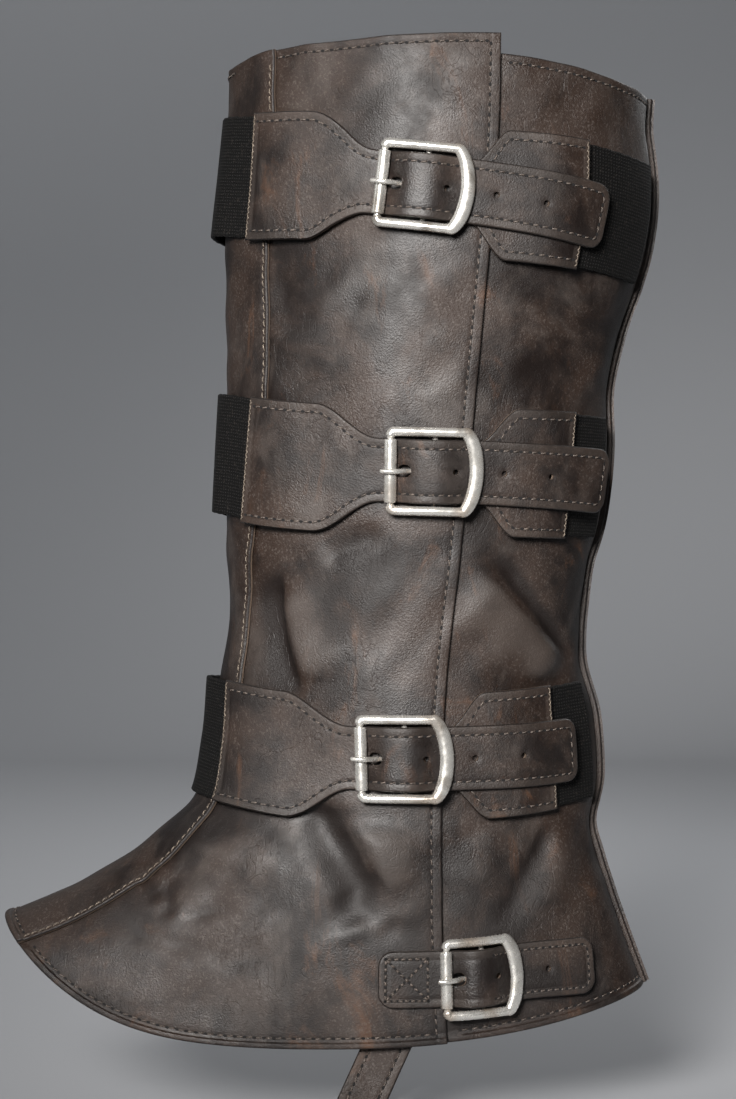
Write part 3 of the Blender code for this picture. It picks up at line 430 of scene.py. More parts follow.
class Panel:
    """One leather panel: its edge angles at any level, its grid, and the points of its face.

    lift is its distance from the form. cover gives the angle up to which a neighbour lies on it. fin is -1
    or 1 where its last columns turn out along the back seam.
    """

    def __init__(self, name, left, right, lift, pitch, cover=None, fin=0, fin_height=0.0):
        self.name, self.left, self.right, self.lift = name, left, right, lift
        self.cover, self.fin, self.fin_height = cover, fin, fin_height
        self.sign = 1 if right(HEM_LEVEL) > left(HEM_LEVEL) else -1
        self.make_grid(pitch)

    def angles(self, level, share, left_in, right_in):
        """Angles at a level, by share of the way across between two margins, given in millimetres."""
        left = self.left(level) + self.sign * left_in / per_degree(self.left(level), level)
        right = self.right(level) - self.sign * right_in / per_degree(self.right(level), level)
        return left + (right - left) * share

    def make_grid(self, pitch):
        """Levels and angles of all points, and how far in from the hem and the rim they are."""
        round_leg = leg(np.linspace(self.left(WIDTH_LEVEL), self.right(WIDTH_LEVEL), 40), WIDTH_LEVEL)
        count = int(far_along(round_leg)[-1] / pitch)
        ends = FIN_MARGIN if self.fin else MARGIN
        middle = np.linspace(0, 1, count + 2)[1:-1]
        share = np.concatenate([np.zeros(len(MARGIN)), middle, np.ones(len(ends))])
        left_in = np.concatenate([MARGIN, np.full(count + len(ends), MARGIN[-1])])
        right_in = np.concatenate([np.full(len(MARGIN) + count, ends[-1]), ends[::-1]])
        rise = hem_rise(self.angles(HEM_LEVEL, share, left_in, right_in))
        top = top_level(self.name, self.angles(MAIN_TOP, share, left_in, right_in))
        low = HEM_LEVEL + MARGIN[:, None] / rise
        high = top - MARGIN[::-1, None]
        up = np.linspace(0, 1, int((MAIN_TOP - HEM_LEVEL) / pitch) + 2)[1:-1, None]
        self.level = np.concatenate([low, low[-1] + (high[0] - low[-1]) * up, high])
        self.angle = self.angles(self.level, share, left_in, right_in)
        self.low_depth = (self.level - HEM_LEVEL) * rise
        self.top_depth = top - self.level

    def side_depths(self, angle, level):
        left, right = self.left(level), self.right(level)
        from_left = (angle - left) * self.sign * per_degree(left, level)
        from_right = (right - angle) * self.sign * per_degree(right, level)
        return from_left, from_right

    def uncovered(self, angle, level):
        """1 where the panel's own face shows at the hem, 0 beneath a neighbour."""
        if self.cover is None:
            return np.ones(np.broadcast(angle, level).shape)
        return smooth(0.3, 1.7, self.sign * (angle - self.cover(level)))

    def face_offset(self, angle, level, low_depth):
        """Offset of the finished face from the form, before its edges are rounded."""
        roll = HEM_BEAD * np.sqrt(np.clip(1 - ((low_depth - HEM_ROLL / 2) / (HEM_ROLL / 2)) ** 4, 0, 1))
        return self.lift(angle, level) + LEATHER + roll * self.uncovered(angle, level)

    def place(self, angle, level, height):
        """A point height above the finished face, for stitches."""
        offset = self.face_offset(angle, level, (level - HEM_LEVEL) * hem_rise(angle))
        return surface_point(angle, level, offset + height)

    def build(self, pressed_sides):
        """pressed_sides gives the stitch line's distance from the left, right, top and hem edge, or None."""
        angle, level = self.angle, self.level
        from_left, from_right = self.side_depths(angle, level)
        if self.fin:
            from_right = np.full(level.shape, FAR)
        depths = [from_left, from_right, self.top_depth, self.low_depth]
        depth = np.minimum.reduce(depths)
        offset = self.face_offset(angle, level, self.low_depth) - edge_drop(depth)
        for line, from_edge in zip(pressed_sides, depths):
            if line is not None:
                offset = offset - pressed(from_edge, line)
        face = surface_point(angle, level, offset)
        back = surface_point(angle, level, self.lift(angle, level) + edge_drop(depth, BACK_ROUND))
        # The fold relief also sets a painted highlight on crests, partly rub wear, and painted shade in
        # troughs
        marks = {
            "edge": edge_mark(depth, PANEL_FADE), "fold_shade_and_wear": np.clip(relief(angle, level) / FOLD_SHADE_FULL, -1, 1),
            "margin": np.zeros(level.shape),
        }
        flesh = np.ones(level.shape)
        if self.fin:
            face, back, marks = self.add_fin(face, back, marks)
            flesh = np.pad(flesh, ((0, 0), (0, face.shape[1] - flesh.shape[1])))
        ride(shell(f"{self.name}_leather", face, back, marks, flesh=flesh), "leather", self.name)

    def add_fin(self, face, back, marks):
        """The last columns turn out along the back seam, where both halves are sewn edge to edge."""
        level = self.level[:, -1]
        seam = surface_point(np.full(level.shape, 180.0), level, 0.0)
        away = outward(180.0, level)
        reach = LEATHER + self.fin_height
        for out_back, out_face, thick in (
            (0.3, LEATHER + 0.1, LEATHER), (1.2, LEATHER + 0.8, LEATHER - 0.15),
            (2.0, LEATHER + 1.4, LEATHER - 0.2), (reach - 0.7, reach - 0.7, LEATHER - 0.2),
            (reach - 0.25, reach - 0.25, LEATHER - 0.35), (reach, reach, LEATHER - 0.75),
        ):
            inner = seam + away * out_back + np.array([0.0, self.fin * GAP / 2, 0.0])
            outer = seam + away * out_face + np.array([0.0, self.fin * (GAP / 2 + thick), 0.0])
            back = np.concatenate([back, inner[:, None]], axis=1)
            face = np.concatenate([face, outer[:, None]], axis=1)
            edge = math.exp(-(reach - out_face) / 0.8)
            # The fin keeps its edge column's fold relief for the painted fold highlight and shade
            last = {"edge": edge, "fold_shade_and_wear": marks["fold_shade_and_wear"][:, -1], "margin": 0.8}
            marks = {
                mark: np.column_stack([marks[mark], np.broadcast_to(value, level.shape)])
                for mark, value in last.items()
            }
        return face, back, marks


# Stitches: dashes of thread with a needle hole between each pair, a flat disc of painted shade
STITCH_PITCH, STITCH_LENGTH, THREAD_RADIUS = 4.0, 2.4, 0.33
STITCH_STEPS = (-1.0, -0.82, -0.5, 0.0, 0.5, 0.82, 1.0)
STITCH_RISE = 0.25
HOLE_LONG, HOLE_WIDE, HOLE_CLEAR = 0.85, 0.55, 0.045


def stitch_shape(length, radius, sides=6):
    """Rings of a stitch that comes up out of the leather and dives back in."""
    turns = round_turns(sides)
    rings = []
    for step in STITCH_STEPS:
        size = radius * (1 - 0.25 * abs(step) ** 3)
        height = STITCH_RISE - (STITCH_RISE + radius * 0.9) * abs(step) ** 4
        along = np.full(sides, step * length / 2)
        rings.append(np.stack([along, size * np.cos(turns), height + size * 0.75 * np.sin(turns)], axis=-1))
    return np.concatenate(rings), ring_faces(len(rings), sides, False)


# A needle hole is a flat near-black disc on the leather: painted shade, not a cut hole
def needle_hole_shade_disc(sides=8):
    turns = round_turns(sides)
    ring = [HOLE_LONG * np.cos(turns), HOLE_WIDE * np.sin(turns), np.full(sides, HOLE_CLEAR)]
    return np.stack(ring, axis=-1), [tuple(range(sides))]


def copies(shape, centres, along, normals, turn=0.0):
    """One mesh of many copies of a small shape, each laid on the surface and turned from its line."""
    points, faces = shape
    across = unit(np.cross(normals, along))
    cos, sin = (np.broadcast_to(f(turn), len(centres))[:, None] for f in (np.cos, np.sin))
    axes = np.stack([along * cos + across * sin, across * cos - along * sin, normals], axis=1)
    placed = centres[:, None] + points @ axes
    all_faces = [tuple(v + k * len(points) for v in f) for k in range(len(centres)) for f in faces]
    return placed.reshape(-1, 3), all_faces


class Sewing:
    """Collects one piece's stitches into two meshes: thread, and needle holes as discs of painted shade."""

    def __init__(self, name, thread):
        self.name, self.thread = name, thread
        self.parts, self.holes = [], []

    def row(
        self, place, u, v, pitch=STITCH_PITCH, length=STITCH_LENGTH, radius=THREAD_RADIUS, holes=True,
        zigzag=0.0,
    ):
        """Stitches along a line of surface places u, v. place gives the point at a height above the face."""
        line, above = place(u, v, 0.0), place(u, v, 1.0)
        far = far_along(line)
        count = max(2, round(far[-1] / pitch))
        step = far[-1] / count

        def laid(at):
            """The points at some distances, the line's directions there and the surface's normals."""
            middle = along_rows(line, far, at)
            ahead = along_rows(line, far, at + 0.4) - along_rows(line, far, at - 0.4)
            return middle, unit(ahead), unit(along_rows(above, far, at) - middle)

        number = np.arange(count)
        turn = 0.16 + 0.06 * np.sin(number * 2.3)
        if zigzag:
            turn = zigzag * np.where(number % 2, 1, -1)
            length = min(length, step * 1.6)
        self.parts.append(copies(stitch_shape(length, radius), *laid((number + 0.5) * step), turn))
        if holes:
            self.holes.append(copies(needle_hole_shade_disc(), *laid(np.arange(count + 1) * step)))

    def build(self):
        for kind, parts, look in (("thread", self.parts, self.thread), ("holes", self.holes, "hole")):
            points, faces, first = [], [], 0
            for some, these in parts:
                faces += [tuple(v + first for v in f) for f in these]
                points.append(some)
                first += len(some)
            if points:
                ride(mesh_object(f"{self.name}_{kind}", np.concatenate(points), faces, 80.0), look)


# Strap space: s runs back along the strap from the buckle's centre bar, t up across it, and h out from
# its underside
TILT_PLACES = (-100, -60, -35, 12, 32)


class StrapPath:
    """The line of one strap round the leg, and the points of the pieces that lie along it."""

    def __init__(self, level, tilts, bar_angle, settle=(118.0, 150.0)):
        self.level, self.settle = level, settle
        self.angles = np.linspace(-120, 178, 1200)
        along = far_along(leg(self.angles, level) + outward(self.angles, level) * STRAP_BASE)
        self.along = along - np.interp(bar_angle, self.angles, along)
        self.slopes = np.interp(self.along, TILT_PLACES, np.tan(np.radians(tilts)))
        rises = (self.slopes[1:] + self.slopes[:-1]) / 2 * np.diff(self.along)
        climbed = np.concatenate([[0], np.cumsum(rises)])
        self.climbed = climbed - np.interp(0, self.along, climbed)

    def angle_at(self, s):
        return np.interp(s, self.along, self.angles)

    def s_at(self, angle):
        return float(np.interp(angle, self.angles, self.along))

    def base(self, angle):
        """A strap bridges from the flap down to the back panel, where its end is sewn."""
        return STRAP_BASE + (LEATHER + GAP - STRAP_BASE) * smooth(*self.settle, angle)

    def point(self, s, t, h):
        """World point of strap coordinates."""
        s, t, h = (np.asarray(v, float) for v in np.broadcast_arrays(s, t, h))
        angle = self.angle_at(s)
        slope = np.interp(s, self.along, self.slopes)
        level = self.level + np.interp(s, self.along, self.climbed)
        by_angle, by_level = leg_slopes(angle, level)
        up = unit(np.cross(outward(angle, level), unit(by_angle) + by_level * slope[..., None]))
        up *= np.sign(up[..., 2:])
        angle_square, level_square = (by_angle**2).sum(-1), (by_level**2).sum(-1)
        shared = (by_angle * by_level).sum(-1)
        up_angle, up_level = (up * by_angle).sum(-1), (up * by_level).sum(-1)
        area = angle_square * level_square - shared**2
        angle = angle + t * (up_angle * level_square - up_level * shared) / area
        level = level + t * (up_level * angle_square - up_angle * shared) / area
        out = self.base(angle) + h + back_bulge(angle, level)
        return leg(angle, level) + out[..., None] * outward(angle, level)


# Strap pieces, in strap space
BILLET_WIDTH = 25.4
FLARE_WIDTH = 51.0
FLARE_END, NECK_START = -48.0, -22.0
TIP_ROUND = 6.0
HOLE_PITCH, FIRST_HOLE, HOLE_RADIUS, HOLE_CELL = 19.4, -11.7, 1.2, 3.2
BILLET_TIP = FIRST_HOLE + 3 * HOLE_PITCH + 28.0
PRONG_HOLE_RADIUS = 2.7
CHAPE_NARROWER = 2.4
CHAPE_FLARE, CHAPE_NECK = 34.0, 17.0
WEBBING_LAP, LAP_EASE = 8.0, 30.0
BAR_RADIUS = 1.1
LOOP_INNER = BAR_RADIUS + 0.6
BAR_HEIGHT = CHAPE_THICK + LOOP_INNER
CREST = BAR_HEIGHT + LOOP_INNER + CHAPE_THICK + GAP
ON_CHAPE = CHAPE_THICK + GAP
ON_FOLD = 2 * ON_CHAPE
ON_WEBBING = WEBBING_THICK + GAP + 0.7
STRAP_MARGIN = np.array([0, 0.2, 0.5, 0.9, 1.6, 2.4, 3.0, 3.5, 3.9, 4.4, 5.2])
STRAP_STITCH = 3.6
CELL_STEPS = 8
ROW_STEP = 1.3

# Underside of a billet: up from the roller, over the centre bar, then down on the chape's fold and on the
# chape. The first rows count from the roller, the others from the bar.
ROLLER_CLIMB = ((0.0, 0.0), (3.1, 1.2), (6.9, 4.6))
BAR_CLIMB = ((-6.0, CREST - 0.2), (-3.5, CREST), (3.2, CREST), (8.0, ON_FOLD), (12.0, ON_CHAPE))
HEIGHT_SHIFTS = np.arange(-3.0, 4.0)


def flare(s, narrow, wide, start, end):
    """Strap width between a narrow neck at start and a wide end at end."""
    return narrow + (wide - narrow) * smooth(start, end, s)


def billet_line(size):
    return np.array([(size.left + s, h) for s, h in ROLLER_CLIMB] + list(BAR_CLIMB))


def billet_height(s, line, front_webbing=-FAR, back_webbing=FAR, tip_lift=0.0):
    """Height of the billet's underside, raised where it or the chape beneath it laps over webbing."""
    in_front = ON_WEBBING * (1 - smooth(front_webbing, front_webbing + LAP_EASE, s))
    behind = ON_WEBBING * smooth(back_webbing - LAP_EASE - 3, back_webbing - 3, s)
    at_tip = tip_lift * smooth(BILLET_TIP - 30, BILLET_TIP, s)
    return np.interp(s, line[:, 0], line[:, 1]) + in_front + behind + at_tip


def round_tip(s, tip, half):
    """Half width near a strap's rounded end."""
    inside = np.clip((s - (tip - TIP_ROUND)) / TIP_ROUND, 0, 1)
    return half - TIP_ROUND * (1 - math.sqrt(max(0.0, 1 - inside * inside)))


def strap_marks(depth, shown=1.0):
    """A strap piece's edge, and its margin outside the stitch line. shown is 0 where the piece is folded."""
    # Straps get no painted fold highlight or shade
    return {
        "edge": edge_mark(depth, STRAP_FADE) * shown, "fold_shade_and_wear": np.zeros(depth.shape),
        "margin": (1 - smooth(STRAP_STITCH - 0.9, STRAP_STITCH + 0.5, depth)) * shown,
    }


def corner_depth(past, beside):
    """Distance in from a rounded end, from how far a point is past the round's start and beside it."""
    outside = np.hypot(np.clip(past, 0, None), np.clip(beside, 0, None))
    return TIP_ROUND - outside - np.minimum(np.maximum(past, beside), 0)


def inside_depth(s, t, start, tip, half, flat_half, round_start):
    """Distance in from the outline of a strap that is rounded at its tip, and at its start if round_start."""
    beside = np.abs(t) - (flat_half - TIP_ROUND)
    depth = corner_depth(s - (tip - TIP_ROUND), beside)
    if round_start:
        return np.minimum(depth, corner_depth((start + TIP_ROUND) - s, beside))
    return np.minimum.reduce([np.where(s > 0, depth, FAR), half - np.abs(t), s - start])


def hole_grid(stations, columns, holes):
    """Moves grid points round each hole onto its circle. Gives s and t grids and the cells cut out."""
    s, t = np.broadcast_to(stations[:, None], columns.shape), columns
    cut = np.zeros((len(stations) - 1, columns.shape[1] - 1), bool)
    for centre, radius in holes:
        a, b = (s - centre) / HOLE_CELL, t / HOLE_CELL
        far = np.maximum(np.abs(a), np.abs(b))
        block = far <= 1 + 1e-6
        length = np.hypot(a, b)
        length[length == 0] = 1
        share = np.clip((far - 0.5) / 0.5, 0, 1)
        s = np.where(block, centre + (1 - share) * radius * a / length + share * a * HOLE_CELL, s)
        t = np.where(block, (1 - share) * radius * b / length + share * b * HOLE_CELL, t)
        middle = block & (far <= 0.5 + 1e-6)
        cut |= middle[:-1, :-1] & middle[1:, 1:] & middle[1:, :-1] & middle[:-1, 1:]
    return s, t, cut


class Billet:
    """The strap with the holes: sewn down in front, through the buckle, and free behind it."""

    def __init__(self, name, path, start, tip, width, holes, bottom, flared, shear=0.0):
        self.name, self.path, self.start, self.tip, self.width = name, path, start, tip, width
        self.holes, self.bottom, self.flared, self.shear = holes, bottom, flared, shear

    def height(self, s):
        """Height of its underside, with its bends eased."""
        return sum(self.bottom(s + shift) for shift in HEIGHT_SHIFTS) / len(HEIGHT_SHIFTS)

    def half_width(self, s):
        if self.flared and s < NECK_START:
            return flare(s, self.width, FLARE_WIDTH, NECK_START, FLARE_END) / 2
        half = round_tip(s, self.tip, self.width / 2)
        if not self.flared:
            half = min(half, round_tip(-s, -self.start, self.width / 2))
        return half

    def stations(self):
        rows = list(np.arange(self.start + STRAP_MARGIN[-1], self.tip - STRAP_MARGIN[-1], ROW_STEP))
        rows = [s for s in rows if all(abs(s - c) > HOLE_CELL + 0.5 for c, _ in self.holes)]
        for centre, _ in self.holes:
            rows += list(centre + np.linspace(-1, 1, CELL_STEPS + 1) * HOLE_CELL)
        return np.array(sorted([*rows, *(self.start + STRAP_MARGIN), *(self.tip - STRAP_MARGIN)]))

    def place(self, s, t, height):
        slanted = s + self.shear * t * (1 - smooth(FLARE_END - 12, NECK_START, s))
        return self.path.point(slanted, t, self.height(s) + BILLET_THICK + height)

    def build(self):
        stations = self.stations()
        full = self.width / 2
        block = np.linspace(0, 1, CELL_STEPS // 2 + 1) * HOLE_CELL
        between = np.linspace(HOLE_CELL, full - STRAP_MARGIN[-1], 5)[1:]
        outside = np.concatenate([block, between, (full - STRAP_MARGIN[::-1])[1:]])
        share = (outside - HOLE_CELL) / (full - HOLE_CELL)
        half = np.array([self.half_width(s) for s in stations])[:, None]
        one_side = np.where(share > 0, HOLE_CELL + (half - HOLE_CELL) * share, outside)
        columns = np.concatenate([-one_side[:, :0:-1], one_side], axis=1)
        s, t, cut = hole_grid(stations, columns, self.holes)
        depth = inside_depth(s, t, self.start, self.tip, half, full, not self.flared)
        from_hole = np.minimum.reduce([np.hypot(s - centre, t) - radius for centre, radius in self.holes])
        drop = edge_drop(depth) + pressed(depth, STRAP_STITCH) + 0.35 * edge_mark(from_hole, 0.5)
        face = self.place(s, t, -drop)
        back = self.place(s, t, edge_drop(depth, BACK_ROUND) - BILLET_THICK)
        ride(shell(f"{self.name}_leather", face, back, strap_marks(depth), cut), "strap", self.name)

    def outline(self, inset, low, high, side, count=160):
        """A line along one long edge, inset from it. side is -1 or 1."""
        s = np.linspace(low, high, count)
        half = np.array([self.half_width(value) for value in s])
        return s, side * (half - inset * np.sqrt(1 + np.gradient(half, s) ** 2))

    def tip_outline(self, inset, from_s):
        """From one long edge round the tip to the other."""
        radius = TIP_ROUND - inset
        middle_s, middle_t = self.tip - TIP_ROUND, self.width / 2 - TIP_ROUND
        turn = np.radians(np.linspace(90, 0, 24))
        s = np.concatenate([np.linspace(from_s, middle_s, 60), middle_s + radius * np.cos(turn)])
        t = np.concatenate([np.full(60, self.width / 2 - inset), middle_t + radius * np.sin(turn)])
        return np.concatenate([s, s[::-1]]), np.concatenate([t, -t[::-1]])


CHAPE_MARGIN = np.array([0, 0.2, 0.5, 0.9, 1.6, 2.4, 3.0, 3.5, 3.9, 4.6])
FOLD_END, SLOT_REACH, SLOT_HALF = 7.5, 3.8, 2.0


class Chape:
    """The piece that holds the buckle: it folds round the centre bar, with a slot there for the prong."""

    def __init__(self, name, path, end, width, flared):
        self.name, self.path, self.end, self.width, self.flared = name, path, end, width, flared

    def half_width(self, s):
        wide = FLARE_WIDTH if self.flared else self.width
        return flare(np.asarray(s, float), self.width, wide, CHAPE_NECK, CHAPE_FLARE) / 2

    def lift(self, s):
        on_webbing = ON_WEBBING if self.flared else 0.0
        return on_webbing * smooth(self.end - WEBBING_LAP - LAP_EASE, self.end - WEBBING_LAP - 2, s)

    def place(self, s, t, height):
        return self.path.point(s, t, self.lift(s) + CHAPE_THICK + height)

    def fold_rows(self):
        """Rows of an inner and an outer point along the piece, and how many lie before and on its loop."""
        count = round((self.end - SLOT_REACH) / ROW_STEP)
        flat = [*(self.end - CHAPE_MARGIN), *np.linspace(self.end - 6, SLOT_REACH, count), 2.6, 1.3, 0]
        rows = [(s, float(self.lift(s)) + CHAPE_THICK, s, float(self.lift(s))) for s in flat]
        radius_out = LOOP_INNER + CHAPE_THICK
        for turn in np.radians(np.arange(20, 181, 20)):
            s, h = -math.sin(turn), -math.cos(turn)
            inner = (LOOP_INNER * s, BAR_HEIGHT + LOOP_INNER * h)
            rows.append((*inner, radius_out * s, BAR_HEIGHT + radius_out * h))
        loop_end = len(rows)
        for s in (1.0, 2.2, SLOT_REACH, 5.0, 6.2, FOLD_END):
            top = float(BAR_HEIGHT + LOOP_INNER - smooth(1.5, 6.0, s) * (2 * LOOP_INNER - GAP))
            rows.append((s, top, s, top + CHAPE_THICK))
        return np.array(rows), len(flat), loop_end

    def build(self):
        rows, flat_end, loop_end = self.fold_rows()
        s_in, h_in, s_out, h_out = (column[:, None] for column in rows.T)
        half = self.half_width(np.clip(s_in, 0, None))
        full = self.width / 2
        inner = np.linspace(SLOT_HALF, full - CHAPE_MARGIN[-1], 6)
        outside = np.concatenate([inner, (full - CHAPE_MARGIN[::-1])[1:]])
        share = (outside - SLOT_HALF) / (full - SLOT_HALF)
        one_side = SLOT_HALF + (half - SLOT_HALF) * share
        t = np.concatenate([-one_side[:, ::-1], one_side], axis=1)
        on_flat = np.arange(len(rows))[:, None] < flat_end
        beside = half - np.abs(t)
        depth = np.where(on_flat, np.minimum(beside, self.end - s_in), beside)
        drop = (edge_drop(depth, 0.55) + pressed(depth, STRAP_STITCH)) * on_flat
        cut = np.zeros((len(rows) - 1, t.shape[1] - 1), bool)
        cut[flat_end - 4:loop_end + 2, t.shape[1] // 2 - 1] = True
        face, back = self.path.point(s_in, t, h_in - drop), self.path.point(s_out, t, h_out)
        ride(shell(f"{self.name}_leather", face, back, strap_marks(depth, on_flat), cut), "strap", self.name)


# Buckles, in strap space
BUCKLE_EASE = 1.8
ROLLER_HEIGHT = BILLET_THICK + GAP + 2.6
KEEPER_HEIGHT = CHAPE_THICK + GAP + BILLET_THICK + GAP + 1.9
PIN_RADIUS = 1.3
ROLLER_RADIUS = 2.4
ROD = 1.9
BOW, BOW_TURN, BOW_SHARE = 3.6, 65.0, 0.577


class Buckle:
    """Places on one buckle: the clear width for the strap sets them."""

    def __init__(self, clear):
        self.half_t = clear / 2 + 2.05
        self.left = -0.62 * clear
        self.right = 0.57 * clear


def tube_rings(path, line, radii_a, radii_b, sides, twist):
    """Rings of points round a closed line in strap space.

    radii_a lies in the strap's plane and radii_b across it. twist turns each ring, in degrees.
    """
    flat = np.roll(line, -1, axis=0) - np.roll(line, 1, axis=0)
    flat[:, 2] = 0
    flat = unit(flat)
    turns = round_turns(sides, twist)
    rings = []
    for centre, ahead, a, b in zip(line, flat, radii_a, radii_b):
        beside = np.array([ahead[1], -ahead[0], 0.0])
        ring = centre + np.outer(np.cos(turns) * a, beside) + np.outer(np.sin(turns) * b, [0, 0, 1])
        rings.append(path.point(*ring.T))
    return np.array(rings)


def rod_rings(path, line, radius, sides):
    """Rings square to an open line in strap space."""
    turns = round_turns(sides)
    rings = []
    for centre, ahead, r in zip(line, unit(np.gradient(line, axis=0)), np.broadcast_to(radius, len(line))):
        first = unit(np.cross(ahead, [0, 0, 1.0])) if abs(ahead[2]) < 0.9 else np.array([0, 1.0, 0])
        second = np.cross(ahead, first)
        ring = centre + r * (np.outer(np.cos(turns), first) + np.outer(np.sin(turns), second))
        rings.append(path.point(*ring.T))
    return np.array(rings)


def ring_faces(count, sides, closed):
    faces = []
    for r in range(count if closed else count - 1):
        for k in range(sides):
            a, b = r * sides, ((r + 1) % count) * sides
            faces.append((a + k, a + (k + 1) % sides, b + (k + 1) % sides, b + k))
    if not closed:
        faces.append(tuple(range(sides)))
        faces.append(tuple((count - 1) * sides + k for k in range(sides)))
    return faces


def metal_tube(name, rings, closed, *nodes):
    count, sides = rings.shape[:2]
    ride(mesh_object(name, rings.reshape(-1, 3), ring_faces(count, sides, closed), 60.0), "metal", *nodes)


def frame_line(size):
    """The frame's centre line from the roller pin round, with half its width and half its thickness."""
    half, left, right = size.half_t, size.left, size.right

    def height(s):
        return ROLLER_HEIGHT + (KEEPER_HEIGHT - ROLLER_HEIGHT) * (s - left) / (right - left)

    rows = [
        (left, half - 2.4, ROLLER_HEIGHT, PIN_RADIUS, PIN_RADIUS),
        (left, half - 1.4, ROLLER_HEIGHT, ROD, 1.9),
        (left + 0.9, half - 0.2, ROLLER_HEIGHT, ROD, 1.9),
    ]
    rows += [(s, half, height(s), ROD, 1.8) for s in (left + 3.0, 0.0, right - 6.0)]
    ends = math.radians(BOW_TURN)
    for turn, wide in ((ends, 2.4), (math.radians(35), 2.7), (0.0, 2.7)):
        t = (half - 0.6) * math.sin(turn) / math.sin(ends)
        s = right - BOW + BOW * (math.cos(turn) - math.cos(ends)) / BOW_SHARE
        rows.append((s, t, height(s), wide, 1.7))
    other_side = [(s, -t, *rest) for s, t, *rest in rows[-2::-1]]
    return np.array([other_side[-1], *rows, *other_side[:-1]])


def closed_curve(rows, steps):
    """Points on a smooth closed curve through rows of numbers."""
    rows = np.asarray(rows, float)
    share = (np.arange(steps) / steps)[None, :, None]
    a, b, c, d = (np.roll(rows, shift, axis=0)[:, None] for shift in (1, 0, -1, -2))
    curve = 0.5 * (
        2 * b + (c - a) * share + (2 * a - 5 * b + 4 * c - d) * share**2 + (3 * b - a - 3 * c + d) * share**3
    )
    return curve.reshape(-1, rows.shape[1])


def open_curve(rows, steps):
    """Points on a smooth open curve through rows of numbers."""
    rows = np.asarray(rows, float)
    padded = np.concatenate([rows[:1], rows, rows[-1:]])
    curve = closed_curve(padded, steps).reshape(len(padded), steps, -1)[1:-2]
    return np.concatenate([curve.reshape(-1, rows.shape[1]), rows[-1:]])


def make_buckle(name, path, size):
    """Frame with its sunk centre bar, the roller on its front side, and the prong."""
    line = closed_curve(frame_line(size), 5)
    rings = tube_rings(path, line[:, :3], line[:, 3], line[:, 4], 20, 9.0)
    metal_tube(f"buckle_{name}_frame", rings, True, f"buckle_{name}")
    half = size.half_t
    frame_height = (ROLLER_HEIGHT + KEEPER_HEIGHT) / 2
    side = [(half, frame_height - 0.2), (half - 1.1, frame_height - 0.9), (half - 2.2, BAR_HEIGHT)]
    bar = [(0, -t, h) for t, h in side] + [(0, 0, BAR_HEIGHT)] + [(0, t, h) for t, h in side[::-1]]
    metal_tube(f"buckle_{name}_bar", rod_rings(path, open_curve(bar, 4), BAR_RADIUS, 12), False)
    make_roller(name, path, size)
    make_prong(name, path, size)


ROLLER_ENDS = (
    (-3.3, PIN_RADIUS + 0.4), (-3.1, PIN_RADIUS + 0.6), (-3.1, 2.15), (-3.3, 2.35), (-3.7, ROLLER_RADIUS),
)


def make_roller(name, path, size):
    """The thin sleeve that turns on the frame's front pin."""
    profile = [(size.half_t + d, r) for d, r in ROLLER_ENDS]
    profile += [(-t, r) for t, r in profile[::-1]]
    turns = round_turns(24)
    rings = [
        path.point(size.left + r * np.cos(turns), np.full(len(turns), t), ROLLER_HEIGHT + r * np.sin(turns))
        for t, r in profile
    ]
    metal_tube(f"roller_{name}_sleeve", np.array(rings), True, f"roller_{name}")


PRONG_RADIUS, EYE_RADIUS = 1.05, 0.8


def make_prong(name, path, size):
    """The tongue: an eye round the centre bar, up through the billet's hole, and over the roller."""
    left = size.left
    over_roller = ROLLER_HEIGHT + ROLLER_RADIUS + 0.35 + PRONG_RADIUS
    eye = BAR_RADIUS + 0.25 + EYE_RADIUS
    line = [
        (eye * math.sin(turn), BAR_HEIGHT - eye * math.cos(turn), EYE_RADIUS)
        for turn in np.radians([30, 75, 120, 165, 205, 236])
    ]
    line += [
        (-4.3, 4.4, 0.9), (left + 9.5, 3.8, 0.9), (left + 7.5, 3.8, 0.95), (left + 6.0, 4.7, PRONG_RADIUS),
        (left + 4.7, 6.3, PRONG_RADIUS), (left + 2.8, over_roller - 0.9, PRONG_RADIUS),
        (left, over_roller, PRONG_RADIUS), (left - 2.6, over_roller - 0.3, 0.95),
        (left - 3.3, over_roller - 0.45, 0.8), (left - 3.6, over_roller - 0.6, 0.35),
    ]
    s, h, radius = open_curve(line, 4).T
    middle = np.stack([s, np.zeros(len(s)), h], axis=1)
    metal_tube(f"prong_{name}_pin", rod_rings(path, middle, radius, 14), False, f"prong_{name}")


# Webbing
WEBBING_INNER_END, WEBBING_BACK_END = -50.0, 166.0
WEBBING_EDGES = np.array([0.0, 0.15, 0.4, 0.8])
WEBBING_HALF = WEBBING_WIDTH / 2 - 0.6
BACK_LIFT = 0.2


def front_lift(path, strap):
    """In front the webbing stands clear of the shin strip, more at one edge than at the other."""
    seam_angle = float(section("seam", strap["level"]))
    start = strap["billet_start"]

    def lift(s, t):
        angle = path.angle_at(s)
        window = smooth(-38, -10, angle) * (1 - smooth(start - 28, start - 10, s))
        share = (t + WEBBING_HALF) / (2 * WEBBING_HALF)
        settled = (LEATHER + GAP) * (1 - smooth(-seam_angle - 11, -seam_angle - 3, angle))
        return window * (strap["flare_bottom"] * (1 - share) + strap["flare_top"] * share) - settled

    return lift


